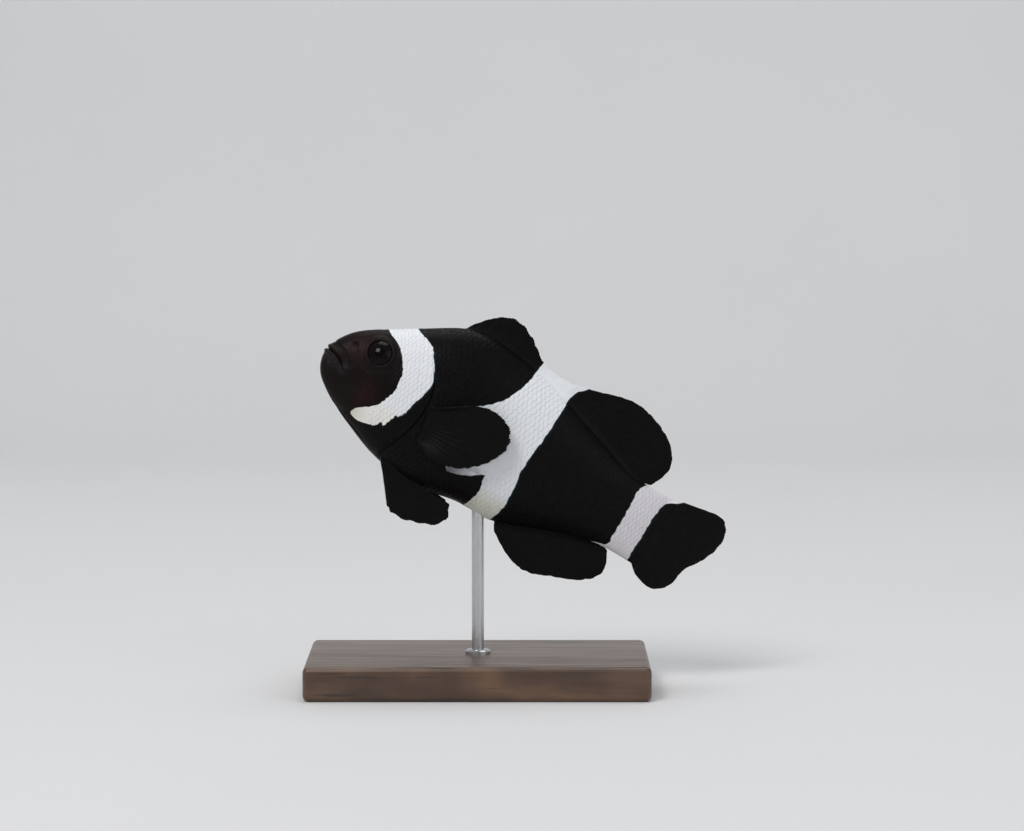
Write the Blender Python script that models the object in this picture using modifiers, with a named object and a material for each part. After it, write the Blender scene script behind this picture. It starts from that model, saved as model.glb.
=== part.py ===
"""A black-and-white clownfish, life size, nose up on a plain display stand.

The fish is modelled in its own frame, under the empty called fish: X runs from the snout to the tail,
Y to the fish's right and Z up. The tables below give places there in millimetres, as (along, up) or
(along, aside, up), on a fish of 92 mm. swing() turns them into metres and swings the tail aside.
The whole part stands on z = 0, over the foot of its rod, with the snout towards -X.
"""

import math

import bmesh
import bpy
import numpy as np
from mathutils import Vector
from mathutils.geometry import intersect_point_line

# Driving dimensions, in metres and radians.
TOTAL_LENGTH = 0.092
NOSE_UP = math.radians(28.5)
SNOUT_HEIGHT = 0.068
TAIL_SWING = math.radians(14.0)
CUT = 0.0003
BASE_SIZE = (0.070, 0.042, 0.007)
BASE_BEVEL = 0.0012
ROD_RADIUS = 0.00125
ROD_IN_BASE = 0.004
ROD_IN_BELLY = 0.006
ROD_SIDES = 32
ROUND_ANGLE = math.radians(40)

# One table unit in metres, and the cut between two pieces in table units.
UNIT = TOTAL_LENGTH / 92.0
GAP = CUT / UNIT

# Places along the fish: where the tail starts to swing and where it is fully swung, and the rod.
SWING_FROM = 45.0
SWING_TO = 92.0
SWING_LINE = (-20.0, 120.0, 1401)  # the swung middle line: its first place, its last one and its points
ROD_AT = 43.5

# Body sections: place along the fish, back, belly, half width, height of the widest point, and how
# pinched the section is above and below that point (1 is an ellipse, more is a sharper ridge).
STATIONS = (
    ("snout", 0.0, 1.0, 1.0, 0.0, 1.0, 1.0, 1.0),
    ("lips", 1.2, 4.8, -2.8, 2.6, 1.2, 0.95, 0.95),
    ("nostril", 3.6, 7.8, -5.2, 3.6, 1.6, 0.90, 0.95),
    ("eye", 9.0, 11.4, -8.4, 5.1, 2.0, 0.92, 1.00),
    ("cheek", 13.5, 14.0, -10.6, 6.1, 2.0, 1.00, 1.00),
    ("nape", 18.5, 16.9, -12.6, 6.9, 2.0, 1.12, 0.95),
    ("shoulder", 24.0, 19.6, -13.8, 7.4, 2.0, 1.20, 0.90),
    ("breast", 31.0, 20.3, -14.2, 7.6, 1.8, 1.24, 0.92),
    ("flank", 38.5, 19.0, -13.0, 7.3, 1.6, 1.26, 1.00),
    ("vent", 46.0, 16.8, -13.1, 6.5, 1.7, 1.26, 1.10),
    ("loin", 54.0, 14.0, -10.8, 5.2, 1.7, 1.22, 1.15),
    ("waist", 62.0, 11.1, -8.3, 3.8, 1.5, 1.15, 1.10),
    ("stalk", 69.0, 8.9, -7.0, 2.6, 1.1, 1.05, 1.05),
    ("tail_root", 75.0, 8.6, -7.2, 1.7, 0.9, 1.00, 1.00),
    ("tail_end", 79.0, 8.7, -7.5, 0.5, 0.8, 1.00, 1.00),
)
COLUMNS = range(2, 8)
BACK, BELLY, HALF_WIDTH, WIDEST, PINCH_ABOVE, PINCH_BELOW = COLUMNS
BODY_RINGS = 36
RING_POINTS = 26
RING_CROWDING = 1.55  # above 1, the rings crowd towards the snout

# Edges between the pieces, from below the fish to above it: the gill opening, then the two edges of
# the white band round the trunk. The tail stalk starts at one place all round.
GILL_EDGE = (
    (17.5, -22.0), (19.2, -12.0), (21.8, -6.0), (23.4, 1.0), (22.6, 6.5), (19.6, 11.5), (17.6, 24.0),
)
BAND_FRONT = (
    (39.0, -22.0), (40.0, -12.4), (39.0, -8.0), (33.0, -4.5),
    (30.4, 1.0), (32.8, 6.8), (37.8, 12.5), (40.0, 24.0),
)
BAND_REAR = ((46.0, -22.0), (46.5, -12.9), (47.2, -6.0), (47.0, 2.0), (48.4, 10.0), (50.0, 24.0))
STALK_FRONT = 69.6
# The front edge of a gill cover.
CHEEK_EDGE = ((18.6, -10.4), (15.9, -8.8), (14.1, -4.5), (13.9, 0.5), (15.4, 5.5), (18.9, 9.4))
GILL_COVER_THICKNESS = 1.2
GILL_SEAT = (10.0, 28.0)  # the places between which the inner body behind the covers runs
GILL_SEAT_RINGS = 9
GILL_OUTLINE_STEPS = 14

# How far the cutters reach: across the fish, and below and above it.
HALF_REACH = 20.0
MIDDLE_CLEARANCE = 2.0  # a gill cover's cutter stops this far from the middle line
LOWEST = -22.0
HIGHEST = 24.0
EDGE_STEPS = 24
AHEAD = -10.0
BEYOND = 90.0

# The mouth's line from its middle to its corner, the lower jaw under it, and the swelling of the lips.
MOUTH = ((0.0, 2.3), (1.8, 2.3), (3.9, 1.3), (5.4, -0.2))
JAW = ((-3.0, 2.3), *MOUTH, (7.0, -5.0), (7.0, -12.0), (-3.0, -12.0))
LIP_HEIGHT = 0.5
LIP_SPREAD = 0.9

# Eyes: the centre, the radius, half the thickness, and how far they stand out of the head.
EYE_CENTRE = (10.1, 6.8)
EYE_RADIUS = 3.0
EYE_HALF_DEPTH = 2.1
EYE_STANDS_OUT = 0.7
EYE_PROBE = 1.0  # how far from the eye the slope of the head is read
EYE_SEGMENTS = 18
EYE_RINGS = 10

# Fins: thickness at the root and at the free edge, and rows of faces from one to the other.
FIN_ROOT_THICKNESS = 1.1
FIN_EDGE_THICKNESS = 0.5
FIN_ROWS = 3
FIN_SINK = 0.9  # how far a root lies under the back or the belly

# Roots of the fins: between two places on the back or the belly, or between two points.
SPINY_ROOT = (22.4, 46.2)
SOFT_ROOT = (46.9, 68.6)
ANAL_ROOT = (46.6, 68.6)
TAIL_ROOT = ((76.4, 7.4), (75.2, -6.3))
PECTORAL_ROOT = ((24.4, 1.8), (25.2, -5.4))
PELVIC_ROOT = ((20.2, -12.2), (25.2, -12.9))

# Rays of each fin, and how far the free edge is drawn in between two of them, as a share of a ray.
SPINY_RAYS, SPINY_SCALLOP = 11, 0.06
SOFT_RAYS, SOFT_SCALLOP = 15, 0.02
ANAL_RAYS, ANAL_SCALLOP = 14, 0.02
TAIL_RAYS, TAIL_SCALLOP = 16, 0.02
PECTORAL_RAYS, PECTORAL_SCALLOP = 17, 0.02
PELVIC_RAYS, PELVIC_SCALLOP = 6, 0.03

# Free edges of the fins, from the first ray's tip to the last one's.
SPINY_EDGE = (
    (24.4, 20.9), (27.6, 24.2), (31.2, 25.8), (35.6, 24.5), (38.8, 22.0), (41.6, 20.3), (47.6, 19.9),
)
SOFT_EDGE = (
    (48.2, 19.8), (54.0, 21.0), (60.5, 22.4), (66.7, 21.1), (71.2, 18.4), (73.7, 14.0), (71.9, 8.9),
)
ANAL_EDGE = (
    (48.0, -14.6), (52.5, -17.6), (57.6, -18.9), (63.0, -17.3), (68.6, -15.3), (72.0, -11.8), (70.6, -7.2),
)
TAIL_EDGE = (
    (79.4, 8.9), (85.4, 9.6), (90.2, 9.2), (92.0, 6.4), (91.0, 1.1),
    (89.4, -1.2), (87.4, -3.7), (86.5, -7.3), (83.1, -10.0), (78.0, -8.8),
)
PECTORAL_EDGE = (
    (29.0, 4.9), (34.4, 7.7), (38.6, 7.5), (41.4, 5.4), (42.2, 2.9),
    (41.6, 0.4), (39.4, -2.9), (34.4, -6.4), (28.8, -7.0),
)
PELVIC_EDGE = ((26.4, -21.1), (29.2, -21.3), (32.8, -20.4), (36.0, -19.1), (37.5, -16.0), (36.4, -14.0))
PELVIC_LAG = 0.9  # how much further back the left pelvic fin lies than the right one
PELVIC_LAG_RISE = 0.3  # how much higher it lies, as a share of that

# Places across the fish: the waves of the fins on its middle line, and the swing of the others.
SPINY_WAVE, SPINY_WAVES = 0.35, 1.5
SOFT_WAVE, SOFT_WAVES = 0.7, 0.9
ANAL_WAVE, ANAL_WAVES = -0.6, 0.8
TAIL_CURL_ABOVE = 0.7
TAIL_CURL_BELOW = 3.7
TAIL_REACH = 14.6  # how far behind its root the tail fin has that much curl
PECTORAL_PLACE = 25.0  # the place along the body whose flank carries a pectoral fin
PECTORAL_SINK = 0.5
PECTORAL_FLARE = 3.4
PECTORAL_BOW = 0.8
PELVIC_OFFSET = 2.2
PELVIC_SPREAD = (2.6, 1.4)  # how far the first and the last ray swing out

# Looks: name, linear base colour, roughness and metallic value.
BLACK_SKIN = ("black_skin", (0.010, 0.008, 0.008), 0.42, 0.0)
WHITE_SKIN = ("white_skin", (0.78, 0.79, 0.82), 0.45, 0.0)
BLACK_FIN = ("black_fin", (0.008, 0.007, 0.008), 0.50, 0.0)
EYE_GLOSS = ("eye_gloss", (0.020, 0.010, 0.006), 0.08, 0.0)
WALNUT = ("walnut", (0.150, 0.078, 0.040), 0.45, 0.0)
STEEL = ("steel", (0.55, 0.55, 0.56), 0.30, 1.0)


# The body's shape --------------------------------------------------------------------------------


def spline(knots, values, at):
    """A natural cubic spline through the values at the knots, read at one place."""
    span = np.diff(knots)
    slope = np.diff(values) / span
    system = np.eye(len(knots))
    pull = np.zeros(len(knots))
    for i in range(1, len(knots) - 1):
        system[i, i - 1 : i + 2] = span[i - 1], 2 * (span[i - 1] + span[i]), span[i]
        pull[i] = 6 * (slope[i] - slope[i - 1])
    curl = np.linalg.solve(system, pull)
    i = int(np.clip(np.searchsorted(knots, at, side="right") - 1, 0, len(span) - 1))
    before = at - knots[i]
    after = knots[i + 1] - at
    bend = (curl[i] * after**3 + curl[i + 1] * before**3) / (6 * span[i])
    first = (values[i] / span[i] - curl[i] * span[i] / 6) * after
    second = (values[i + 1] / span[i] - curl[i + 1] * span[i] / 6) * before
    return float(bend + first + second)


def body_size(column, along):
    """One size of the body at a place along it. The square root rounds off the snout."""
    knots = np.sqrt([station[1] for station in STATIONS])
    return spline(knots, np.array([station[column] for station in STATIONS]), math.sqrt(along))


def body_sizes(along):
    return [body_size(column, along) for column in COLUMNS]


def half_width_at(along, up):
    """Half the body's width at a point of its side view, and 0 off the body."""
    back, belly, half_width, widest, pinch_above, pinch_below = body_sizes(along)
    share = (up - widest) / (back - widest if up > widest else widest - belly)
    pinch = pinch_above if up > widest else pinch_below
    return half_width * math.sqrt(max(0.0, 1 - share * share)) ** pinch


def ring(along):
    """One section of the body, from the back down the left side and round."""
    back, belly, half_width, widest, pinch_above, pinch_below = body_sizes(along)
    points = []
    for step in range(RING_POINTS):
        angle = math.tau * step / RING_POINTS
        rise, out = math.cos(angle), math.sin(angle)
        up = widest + rise * (back - widest if rise > 0 else widest - belly)
        aside = half_width * abs(out) ** (pinch_above if rise > 0 else pinch_below)
        points.append((along, -math.copysign(aside, out), up))
    return points


def across(edge, up):
    """The place along the fish of a smooth edge between two pieces, at a height."""
    if isinstance(edge, float):
        return edge
    places, heights = (np.array(values) for values in zip(*edge))
    return spline(heights, places, up)


def swing(points):
    """Points in the tables' frame, in the fish's own frame in metres, with the tail swung aside."""
    points = np.asarray(points, float)
    steps = np.linspace(*SWING_LINE)
    share = np.clip((steps - SWING_FROM) / (SWING_TO - SWING_FROM), 0, 1)
    heading = TAIL_SWING * share * share * (3 - 2 * share)
    stride = steps[1] - steps[0]
    back = steps[0] + np.cumsum(np.cos(heading) * stride) - stride
    aside = np.cumsum(np.sin(heading) * stride)
    back, aside, heading = (np.interp(points[:, 0], steps, line) for line in (back, aside, heading))
    turned = back - points[:, 1] * np.sin(heading), aside + points[:, 1] * np.cos(heading), points[:, 2]
    return np.stack(turned, axis=1) * UNIT


# Objects -----------------------------------------------------------------------------------------


def material(look):
    name, colour, roughness, metallic = look
    made = bpy.data.materials.get(name)
    if made is None:
        made = bpy.data.materials.new(name)
        made.use_nodes = True
        shader = made.node_tree.nodes["Principled BSDF"]
        shader.inputs["Base Color"].default_value = (*colour, 1.0)
        shader.inputs["Roughness"].default_value = roughness
        shader.inputs["Metallic"].default_value = metallic
    return made


def add_object(name, mesh, look=None, parent="fish"):
    """An object with a look is a piece of the part, and one without is a cutter."""
    obj = bpy.data.objects.new(name, mesh)
    obj.parent = bpy.data.objects.get(parent) if parent else None
    if look:
        mesh.materials.append(material(look))
        mesh.shade_smooth()
        mesh.set_sharp_from_angle(angle=ROUND_ANGLE)
    else:
        obj.hide_render = True
        obj.display_type = "WIRE"
    bpy.data.collections["clownfish" if look else "cutters"].objects.link(obj)
    return obj


def mesh_from(shape, name):
    mesh = bpy.data.meshes.new(name)
    bmesh.ops.recalc_face_normals(shape, faces=shape.faces)
    shape.to_mesh(mesh)
    shape.free()
    return mesh


def fish_mesh(name, points, faces):
    """A mesh of table points, with its faces turned to point out."""
    raw = bpy.data.meshes.new("raw")
    raw.from_pydata(swing(points).tolist(), [], faces)
    shape = bmesh.new()
    shape.from_mesh(raw)
    bpy.data.meshes.remove(raw)
    return mesh_from(shape, name)


def loft(name, rings, nose=None):
    """A closed skin over rings of points. A nose point closes the front, or else a flat cap does."""
    count = len(rings[0])
    points = [point for section in rings for point in section]
    faces = [tuple(range(len(points) - count, len(points)))]
    for first in range(0, len(points) - count, count):
        for step in range(count):
            after = (step + 1) % count
            faces.append((first + step, first + after, first + count + after, first + count + step))
    if nose is None:
        faces.append(tuple(range(count)))
    else:
        points.append(nose)
        faces += [(len(points) - 1, (step + 1) % count, step) for step in range(count)]
    return fish_mesh(name, points, faces)


def from_mouth(along, up):
    """How far a point of the side view is from the mouth's line."""
    point = Vector((along, up))
    nearest = []
    for first, last in zip(MOUTH, MOUTH[1:]):
        share = intersect_point_line(point, first, last)[1]
        on_line = Vector(first).lerp(Vector(last), min(max(share, 0.0), 1.0))
        nearest.append((point - on_line).length)
    return min(nearest)


def whole_body(name):
    """The body with its lips, from the snout to the root of the tail fin."""
    tip, end = STATIONS[0], STATIONS[-1]
    places = [end[1] * (row / BODY_RINGS) ** RING_CROWDING for row in range(1, BODY_RINGS + 1)]
    mesh = loft(name, [ring(place) for place in places], nose=(tip[1], 0.0, tip[2]))
    for vertex in mesh.vertices:
        share = from_mouth(vertex.co.x / UNIT, vertex.co.z / UNIT) / LIP_SPREAD
        vertex.co += vertex.normal * LIP_HEIGHT * UNIT * math.exp(-share * share)
    return mesh


def prism(name, outline, low=-HALF_REACH, high=HALF_REACH):
    """A cutter: a side-view outline, reaching between two places across the fish."""
    count = len(outline)
    points = [(along, aside, up) for aside in (low, high) for along, up in outline]
    faces = [(step, (step + 1) % count, count + (step + 1) % count, count + step) for step in range(count)]
    faces += [tuple(range(count)), tuple(range(count, 2 * count))]
    return add_object(name, fish_mesh(name, points, faces))


def length_of_fish(name, front, rear):
    """A cutter: the fish between two edges, with the cut taken off at the front one."""
    heights = np.linspace(LOWEST, HIGHEST, EDGE_STEPS)
    outline = [(across(front, up) + GAP, up) for up in heights]
    outline += [(across(rear, up), up) for up in heights[::-1]]
    return prism(name, outline)


def body_core(name, depth):
    """A cutter: the inside of the body behind the gill covers, a depth below its surface."""
    rings = []
    for place in np.linspace(*GILL_SEAT, GILL_SEAT_RINGS):
        centre = Vector((place, 0.0, body_size(WIDEST, place)))
        skin = [Vector(point) for point in ring(place)]
        rings.append([tuple(point + (centre - point).normalized() * depth) for point in skin])
    return add_object(name, loft(name, rings))


def boolean(obj, operation, cutter):
    step = obj.modifiers.new(f"{operation.lower()}_{cutter.name}", "BOOLEAN")
    step.operation = operation
    step.object = cutter
    step.solver = "EXACT"


def body_piece(name, look, keep, cut=()):
    """The part of the body inside one cutter and outside the others."""
    obj = add_object(name, whole_body(name), look)
    boolean(obj, "INTERSECT", keep)
    for cutter in cut:
        boolean(obj, "DIFFERENCE", cutter)


# The head and the trunk --------------------------------------------------------------------------


def gill_outline(grow):
    """The outline of a gill cover, which ends at the gill opening, grown on its other sides."""
    heights = np.linspace(CHEEK_EDGE[0][1] - grow, CHEEK_EDGE[-1][1] + grow, GILL_OUTLINE_STEPS)
    front = [(across(CHEEK_EDGE, up) - grow, up) for up in heights]
    return front + [(across(GILL_EDGE, up) + 3 * grow, up) for up in heights[::-1]]


def gill_covers():
    """Both gill covers. It returns the cutters of the recesses they lie in."""
    seat = body_core("gill_seat", GILL_COVER_THICKNESS + GAP)
    lining = body_core("gill_lining", GILL_COVER_THICKNESS)
    recesses = []
    left, right = (-HALF_REACH, -MIDDLE_CLEARANCE), (MIDDLE_CLEARANCE, HALF_REACH)
    for side, (low, high) in (("left", left), ("right", right)):
        cover = prism(f"gill_outline_{side}", gill_outline(0.0), low, high)
        body_piece(f"gill_cover_{side}", WHITE_SKIN, cover, [lining])
        recess = prism(f"gill_recess_{side}", gill_outline(GAP), low, high)
        boolean(recess, "DIFFERENCE", seat)
        recesses.append(recess)
    return recesses


def eyes():
    """Both eyes, flattened balls square to the head's side. It returns the cutters of their sockets."""
    along, up = EYE_CENTRE
    off = EYE_PROBE
    forward = (half_width_at(along - off, up) - half_width_at(along + off, up)) / (2 * off)
    upward = (half_width_at(along, up - off) - half_width_at(along, up + off)) / (2 * off)
    sockets = []
    for side, way in (("left", -1), ("right", 1)):
        facing = Vector((forward, way, upward)).normalized()
        skin = Vector((along, way * half_width_at(along, up), up))
        centre = skin + facing * (EYE_STANDS_OUT - EYE_HALF_DEPTH)
        for name, gap, look in ((f"eye_{side}", 0.0, EYE_GLOSS), (f"eye_socket_{side}", GAP, None)):
            shape = bmesh.new()
            bmesh.ops.create_uvsphere(shape, u_segments=EYE_SEGMENTS, v_segments=EYE_RINGS, radius=1.0)
            size = Vector((EYE_RADIUS + gap, EYE_RADIUS + gap, EYE_HALF_DEPTH + gap)) * UNIT
            bmesh.ops.scale(shape, vec=size, verts=shape.verts)
            obj = add_object(name, mesh_from(shape, name), look)
            obj.location = centre * UNIT
            obj.rotation_euler = facing.to_track_quat("Z", "Y").to_euler()
            if look is None:
                sockets.append(obj)
    return sockets


def head():
    mouth_gap = prism("mouth_gap", [(along + (GAP if along > 0 else 0.0), up + GAP) for along, up in JAW])
    cuts = [*gill_covers(), *eyes(), mouth_gap]
    body_piece("head", BLACK_SKIN, length_of_fish("head_length", AHEAD, GILL_EDGE), cuts)
    body_piece("lower_jaw", BLACK_SKIN, prism("jaw_outline", JAW))


def trunk(rod_hole):
    body_piece("trunk_front", BLACK_SKIN, length_of_fish("front_length", GILL_EDGE, BAND_FRONT), [rod_hole])
    body_piece("trunk_band", WHITE_SKIN, length_of_fish("band_length", BAND_FRONT, BAND_REAR), [rod_hole])
    body_piece("trunk_rear", BLACK_SKIN, length_of_fish("rear_length", BAND_REAR, STALK_FRONT))
    body_piece("tail_stalk", WHITE_SKIN, length_of_fish("stalk_length", STALK_FRONT, BEYOND))


# The fins ----------------------------------------------------------------------------------------


def edge_point(edge, share):
    """The point a share of the way along a smooth edge, by chord length."""
    points = np.array(edge)
    chords = np.linalg.norm(np.diff(points, axis=0), axis=1)
    knots = np.concatenate([[0.0], np.cumsum(chords)])
    return np.array([spline(knots, points[:, axis], share * knots[-1]) for axis in (0, 1)])


def fin(name, root, edge, rays, scallop, aside):
    """A fin from its root to its free edge, thinning outwards, and cut clear of the body.

    root(share) gives the root of the ray a share of the way along the fin. Between two rays the edge is
    drawn in by the scallop, a share of the ray. aside(along, up, share, out) gives the place across.
    """
    columns = 2 * (rays - 1)
    points, faces, thickness = [], [], []
    for column in range(columns + 1):
        share = column / columns
        start = np.array(root(share))
        reach = edge_point(edge, share) - start
        for row in range(FIN_ROWS + 1):
            out = row / FIN_ROWS * (1 - scallop * (column % 2))
            along, up = start + reach * out
            points.append((along, aside(along, up, share, out), up))
            thickness.append(1 + (FIN_EDGE_THICKNESS / FIN_ROOT_THICKNESS - 1) * out)
    for column in range(columns):
        for corner in range(column * (FIN_ROWS + 1), column * (FIN_ROWS + 1) + FIN_ROWS):
            faces.append((corner, corner + 1, corner + FIN_ROWS + 2, corner + FIN_ROWS + 1))
    obj = add_object(name, fish_mesh(name, points, faces), BLACK_FIN)
    taper = obj.vertex_groups.new(name="taper")
    for index, weight in enumerate(thickness):
        taper.add([index], weight, "REPLACE")
    solid = obj.modifiers.new("thickness", "SOLIDIFY")
    solid.thickness = FIN_ROOT_THICKNESS * UNIT
    solid.offset = 0.0
    solid.vertex_group = taper.name
    solid.use_even_offset = True
    boolean(obj, "DIFFERENCE", bpy.data.objects["fin_clearance"])


def between(first, last):
    """A straight root between two points."""
    return lambda share: np.array(first) + (np.array(last) - np.array(first)) * share


def along_back(start, end):
    def root(share):
        along = start + (end - start) * share
        return along, body_size(BACK, along) - FIN_SINK

    return root


def along_belly(start, end):
    def root(share):
        along = start + (end - start) * share
        return along, body_size(BELLY, along) + FIN_SINK

    return root


def rippled(size, waves):
    """A fin on the middle line, waving from side to side along its edge."""
    return lambda along, up, share, out: size * out * math.sin(math.tau * waves * share)


def median_fins():
    """Two dorsal fins, the anal fin and the tail fin, whose lower lobe curls aside more than the upper."""

    def curled(along, up, share, out):
        reach = (along - TAIL_ROOT[0][0]) / TAIL_REACH
        return (TAIL_CURL_ABOVE + (TAIL_CURL_BELOW - TAIL_CURL_ABOVE) * share) * reach * reach

    spiny, soft, anal = along_back(*SPINY_ROOT), along_back(*SOFT_ROOT), along_belly(*ANAL_ROOT)
    fin("dorsal_fin_spiny", spiny, SPINY_EDGE, SPINY_RAYS, SPINY_SCALLOP, rippled(SPINY_WAVE, SPINY_WAVES))
    fin("dorsal_fin_soft", soft, SOFT_EDGE, SOFT_RAYS, SOFT_SCALLOP, rippled(SOFT_WAVE, SOFT_WAVES))
    fin("anal_fin", anal, ANAL_EDGE, ANAL_RAYS, ANAL_SCALLOP, rippled(ANAL_WAVE, ANAL_WAVES))
    fin("caudal_fin", between(*TAIL_ROOT), TAIL_EDGE, TAIL_RAYS, TAIL_SCALLOP, curled)


def paired_fins():
    """The pectoral fins, which flare a little off the flanks, and the pelvic fins, which hang down."""
    for side, way in (("left", -1), ("right", 1)):

        def flared(along, up, share, out):
            flank = half_width_at(PECTORAL_PLACE, up) - PECTORAL_SINK
            return way * (flank + PECTORAL_FLARE * out + PECTORAL_BOW * math.sin(math.pi * out))

        def hanging(along, up, share, out):
            first, last = PELVIC_SPREAD
            return way * (PELVIC_OFFSET + (first + (last - first) * share) * out)

        lag = PELVIC_LAG if side == "left" else 0.0
        pelvic_edge = [(along + lag, up + PELVIC_LAG_RISE * lag) for along, up in PELVIC_EDGE]
        pectoral_root, pelvic_root = between(*PECTORAL_ROOT), between(*PELVIC_ROOT)
        fin(f"pectoral_fin_{side}", pectoral_root, PECTORAL_EDGE, PECTORAL_RAYS, PECTORAL_SCALLOP, flared)
        fin(f"pelvic_fin_{side}", pelvic_root, pelvic_edge, PELVIC_RAYS, PELVIC_SCALLOP, hanging)


# The stand ---------------------------------------------------------------------------------------


def cylinder(name, radius, low, high, look=None):
    """An upright cylinder over the origin, between two heights."""
    shape = bmesh.new()
    ends = {"radius1": radius, "radius2": radius, "depth": high - low}
    bmesh.ops.create_cone(shape, cap_ends=True, segments=ROD_SIDES, **ends)
    obj = add_object(name, mesh_from(shape, name), look, parent=None)
    obj.location.z = (low + high) / 2
    return obj


def stand(belly_height):
    """A flat base, and a rod from a hole in it up into the belly. It returns the cutter of both holes."""
    foot = BASE_SIZE[2] - ROD_IN_BASE
    top = belly_height + ROD_IN_BELLY
    cylinder("stand_rod", ROD_RADIUS, foot, top, STEEL)
    rod_hole = cylinder("rod_hole", ROD_RADIUS + CUT, foot - CUT, top + CUT)
    shape = bmesh.new()
    bmesh.ops.create_cube(shape, size=1.0)
    bmesh.ops.scale(shape, vec=BASE_SIZE, verts=shape.verts)
    base = add_object("stand_base", mesh_from(shape, "stand_base"), WALNUT, parent=None)
    base.location.z = BASE_SIZE[2] / 2
    corners = base.modifiers.new("rounded_edges", "BEVEL")
    corners.width = BASE_BEVEL
    corners.segments = 3
    boolean(base, "DIFFERENCE", rod_hole)
    return rod_hole


# The whole part ----------------------------------------------------------------------------------


def main():
    for obj in list(bpy.data.objects):
        bpy.data.objects.remove(obj)
    for name in ("clownfish", "cutters"):
        bpy.context.scene.collection.children.link(bpy.data.collections.new(name))
    fish = bpy.data.objects.new("fish", None)
    bpy.data.collections["clownfish"].objects.link(fish)
    fish.rotation_euler.y = NOSE_UP
    turned = fish.rotation_euler.to_matrix() @ Vector((ROD_AT, 0.0, body_size(BELLY, ROD_AT))) * UNIT
    fish.location = (-turned.x, 0.0, SNOUT_HEIGHT)
    clearance = add_object("fin_clearance", whole_body("fin_clearance"))
    push = clearance.modifiers.new("push", "DISPLACE")
    push.strength = CUT
    push.mid_level = 0.0
    head()
    trunk(stand(turned.z + SNOUT_HEIGHT))
    median_fins()
    paired_fins()


main()
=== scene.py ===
"""Looks for a life-size clownfish model on its display stand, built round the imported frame.

The fish is worked out in its own straight frame, in table units of one millimetre on a fish of 92 mm:
along runs from the snout to the tail, aside to the fish's right, and up to its back. to_world() swings
the tail aside, pitches the fish nose up and sets it over the rod.
"""

import math

import bmesh
import bpy
import numpy as np
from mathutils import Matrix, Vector, kdtree


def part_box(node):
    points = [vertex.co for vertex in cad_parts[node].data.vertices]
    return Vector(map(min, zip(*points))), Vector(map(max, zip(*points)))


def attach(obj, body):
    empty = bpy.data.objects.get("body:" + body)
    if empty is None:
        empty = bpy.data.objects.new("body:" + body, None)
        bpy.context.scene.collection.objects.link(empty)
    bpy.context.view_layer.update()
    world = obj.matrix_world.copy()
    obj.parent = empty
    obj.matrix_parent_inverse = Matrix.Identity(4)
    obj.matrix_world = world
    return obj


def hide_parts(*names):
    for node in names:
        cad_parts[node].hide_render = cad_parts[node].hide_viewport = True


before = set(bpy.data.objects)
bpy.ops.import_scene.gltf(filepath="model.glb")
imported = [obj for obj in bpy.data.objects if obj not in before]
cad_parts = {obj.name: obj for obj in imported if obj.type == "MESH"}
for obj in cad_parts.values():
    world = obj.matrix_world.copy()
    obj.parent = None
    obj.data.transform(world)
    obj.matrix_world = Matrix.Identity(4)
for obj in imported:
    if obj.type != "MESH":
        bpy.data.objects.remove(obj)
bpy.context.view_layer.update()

# Driving dimensions, in metres and radians.
TOTAL_LENGTH = 0.092
UNIT = TOTAL_LENGTH / 92.0
NOSE_UP = math.radians(28.5)
SNOUT_HEIGHT = 0.068
TAIL_SWING = math.radians(14.0)
SWING_FROM = 45.0
SWING_TO = 92.0
SWING_LINE = (-20.0, 120.0, 1401)  # the swung middle line: its first place, its last one and its points
ROD_AT = 43.5

# Body sections: along, back, belly, half width, height of the widest point, pinch above and below it.
STATIONS = (
    (0.0, 1.0, 1.0, 0.0, 1.0, 1.0, 1.0),
    (1.2, 4.8, -2.8, 2.6, 1.2, 0.95, 0.95),
    (3.6, 7.8, -5.2, 3.6, 1.6, 0.90, 0.95),
    (9.0, 11.4, -8.4, 5.1, 2.0, 0.92, 1.00),
    (13.5, 14.0, -10.6, 6.1, 2.0, 1.00, 1.00),
    (18.5, 16.9, -12.6, 6.9, 2.0, 1.12, 0.95),
    (24.0, 19.6, -13.8, 7.4, 2.0, 1.20, 0.90),
    (31.0, 20.3, -14.2, 7.6, 1.8, 1.24, 0.92),
    (38.5, 19.0, -13.0, 7.3, 1.6, 1.26, 1.00),
    (46.0, 16.8, -13.1, 6.5, 1.7, 1.26, 1.10),
    (54.0, 14.0, -10.8, 5.2, 1.7, 1.22, 1.15),
    (62.0, 11.1, -8.3, 3.8, 1.5, 1.15, 1.10),
    (69.0, 8.9, -7.0, 2.6, 1.1, 1.05, 1.05),
    (75.0, 8.6, -7.2, 1.7, 0.9, 1.00, 1.00),
    (79.0, 8.7, -7.5, 0.5, 0.8, 1.00, 1.00),
)
BODY_END = STATIONS[-1][0]

# Lines on the head, in the side view.
GILL_EDGE = ((17.5, -22.0), (19.2, -12.0), (21.8, -6.0), (23.4, 1.0), (22.6, 6.5), (19.6, 11.5), (17.6, 24.0))
CHEEK_EDGE = ((9.4, -7.6), (11.6, -6.7), (13.3, -4.6), (14.1, -1.0), (14.3, 3.0), (14.9, 6.5), (15.8, 8.4))
MOUTH = ((-0.5, 2.3), (0.0, 2.3), (1.8, 2.3), (3.9, 1.3), (5.2, 0.0))
UPPER_LIP = ((0.9, 4.2), (3.0, 3.8), (5.0, 2.4), (6.4, 0.7), (6.7, -0.8))
LOWER_LIP = ((0.5, 0.4), (2.4, 0.2), (4.2, -0.9), (5.2, -2.0))
NOSTRIL = (4.8, 6.1)
EYE_CENTRE = (10.1, 6.8)
EYE_RADIUS = 3.0
EYE_HALF_DEPTH = 2.1
EYE_STANDS_OUT = 0.7
SOCKET_RADIUS = 2.4

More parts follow.
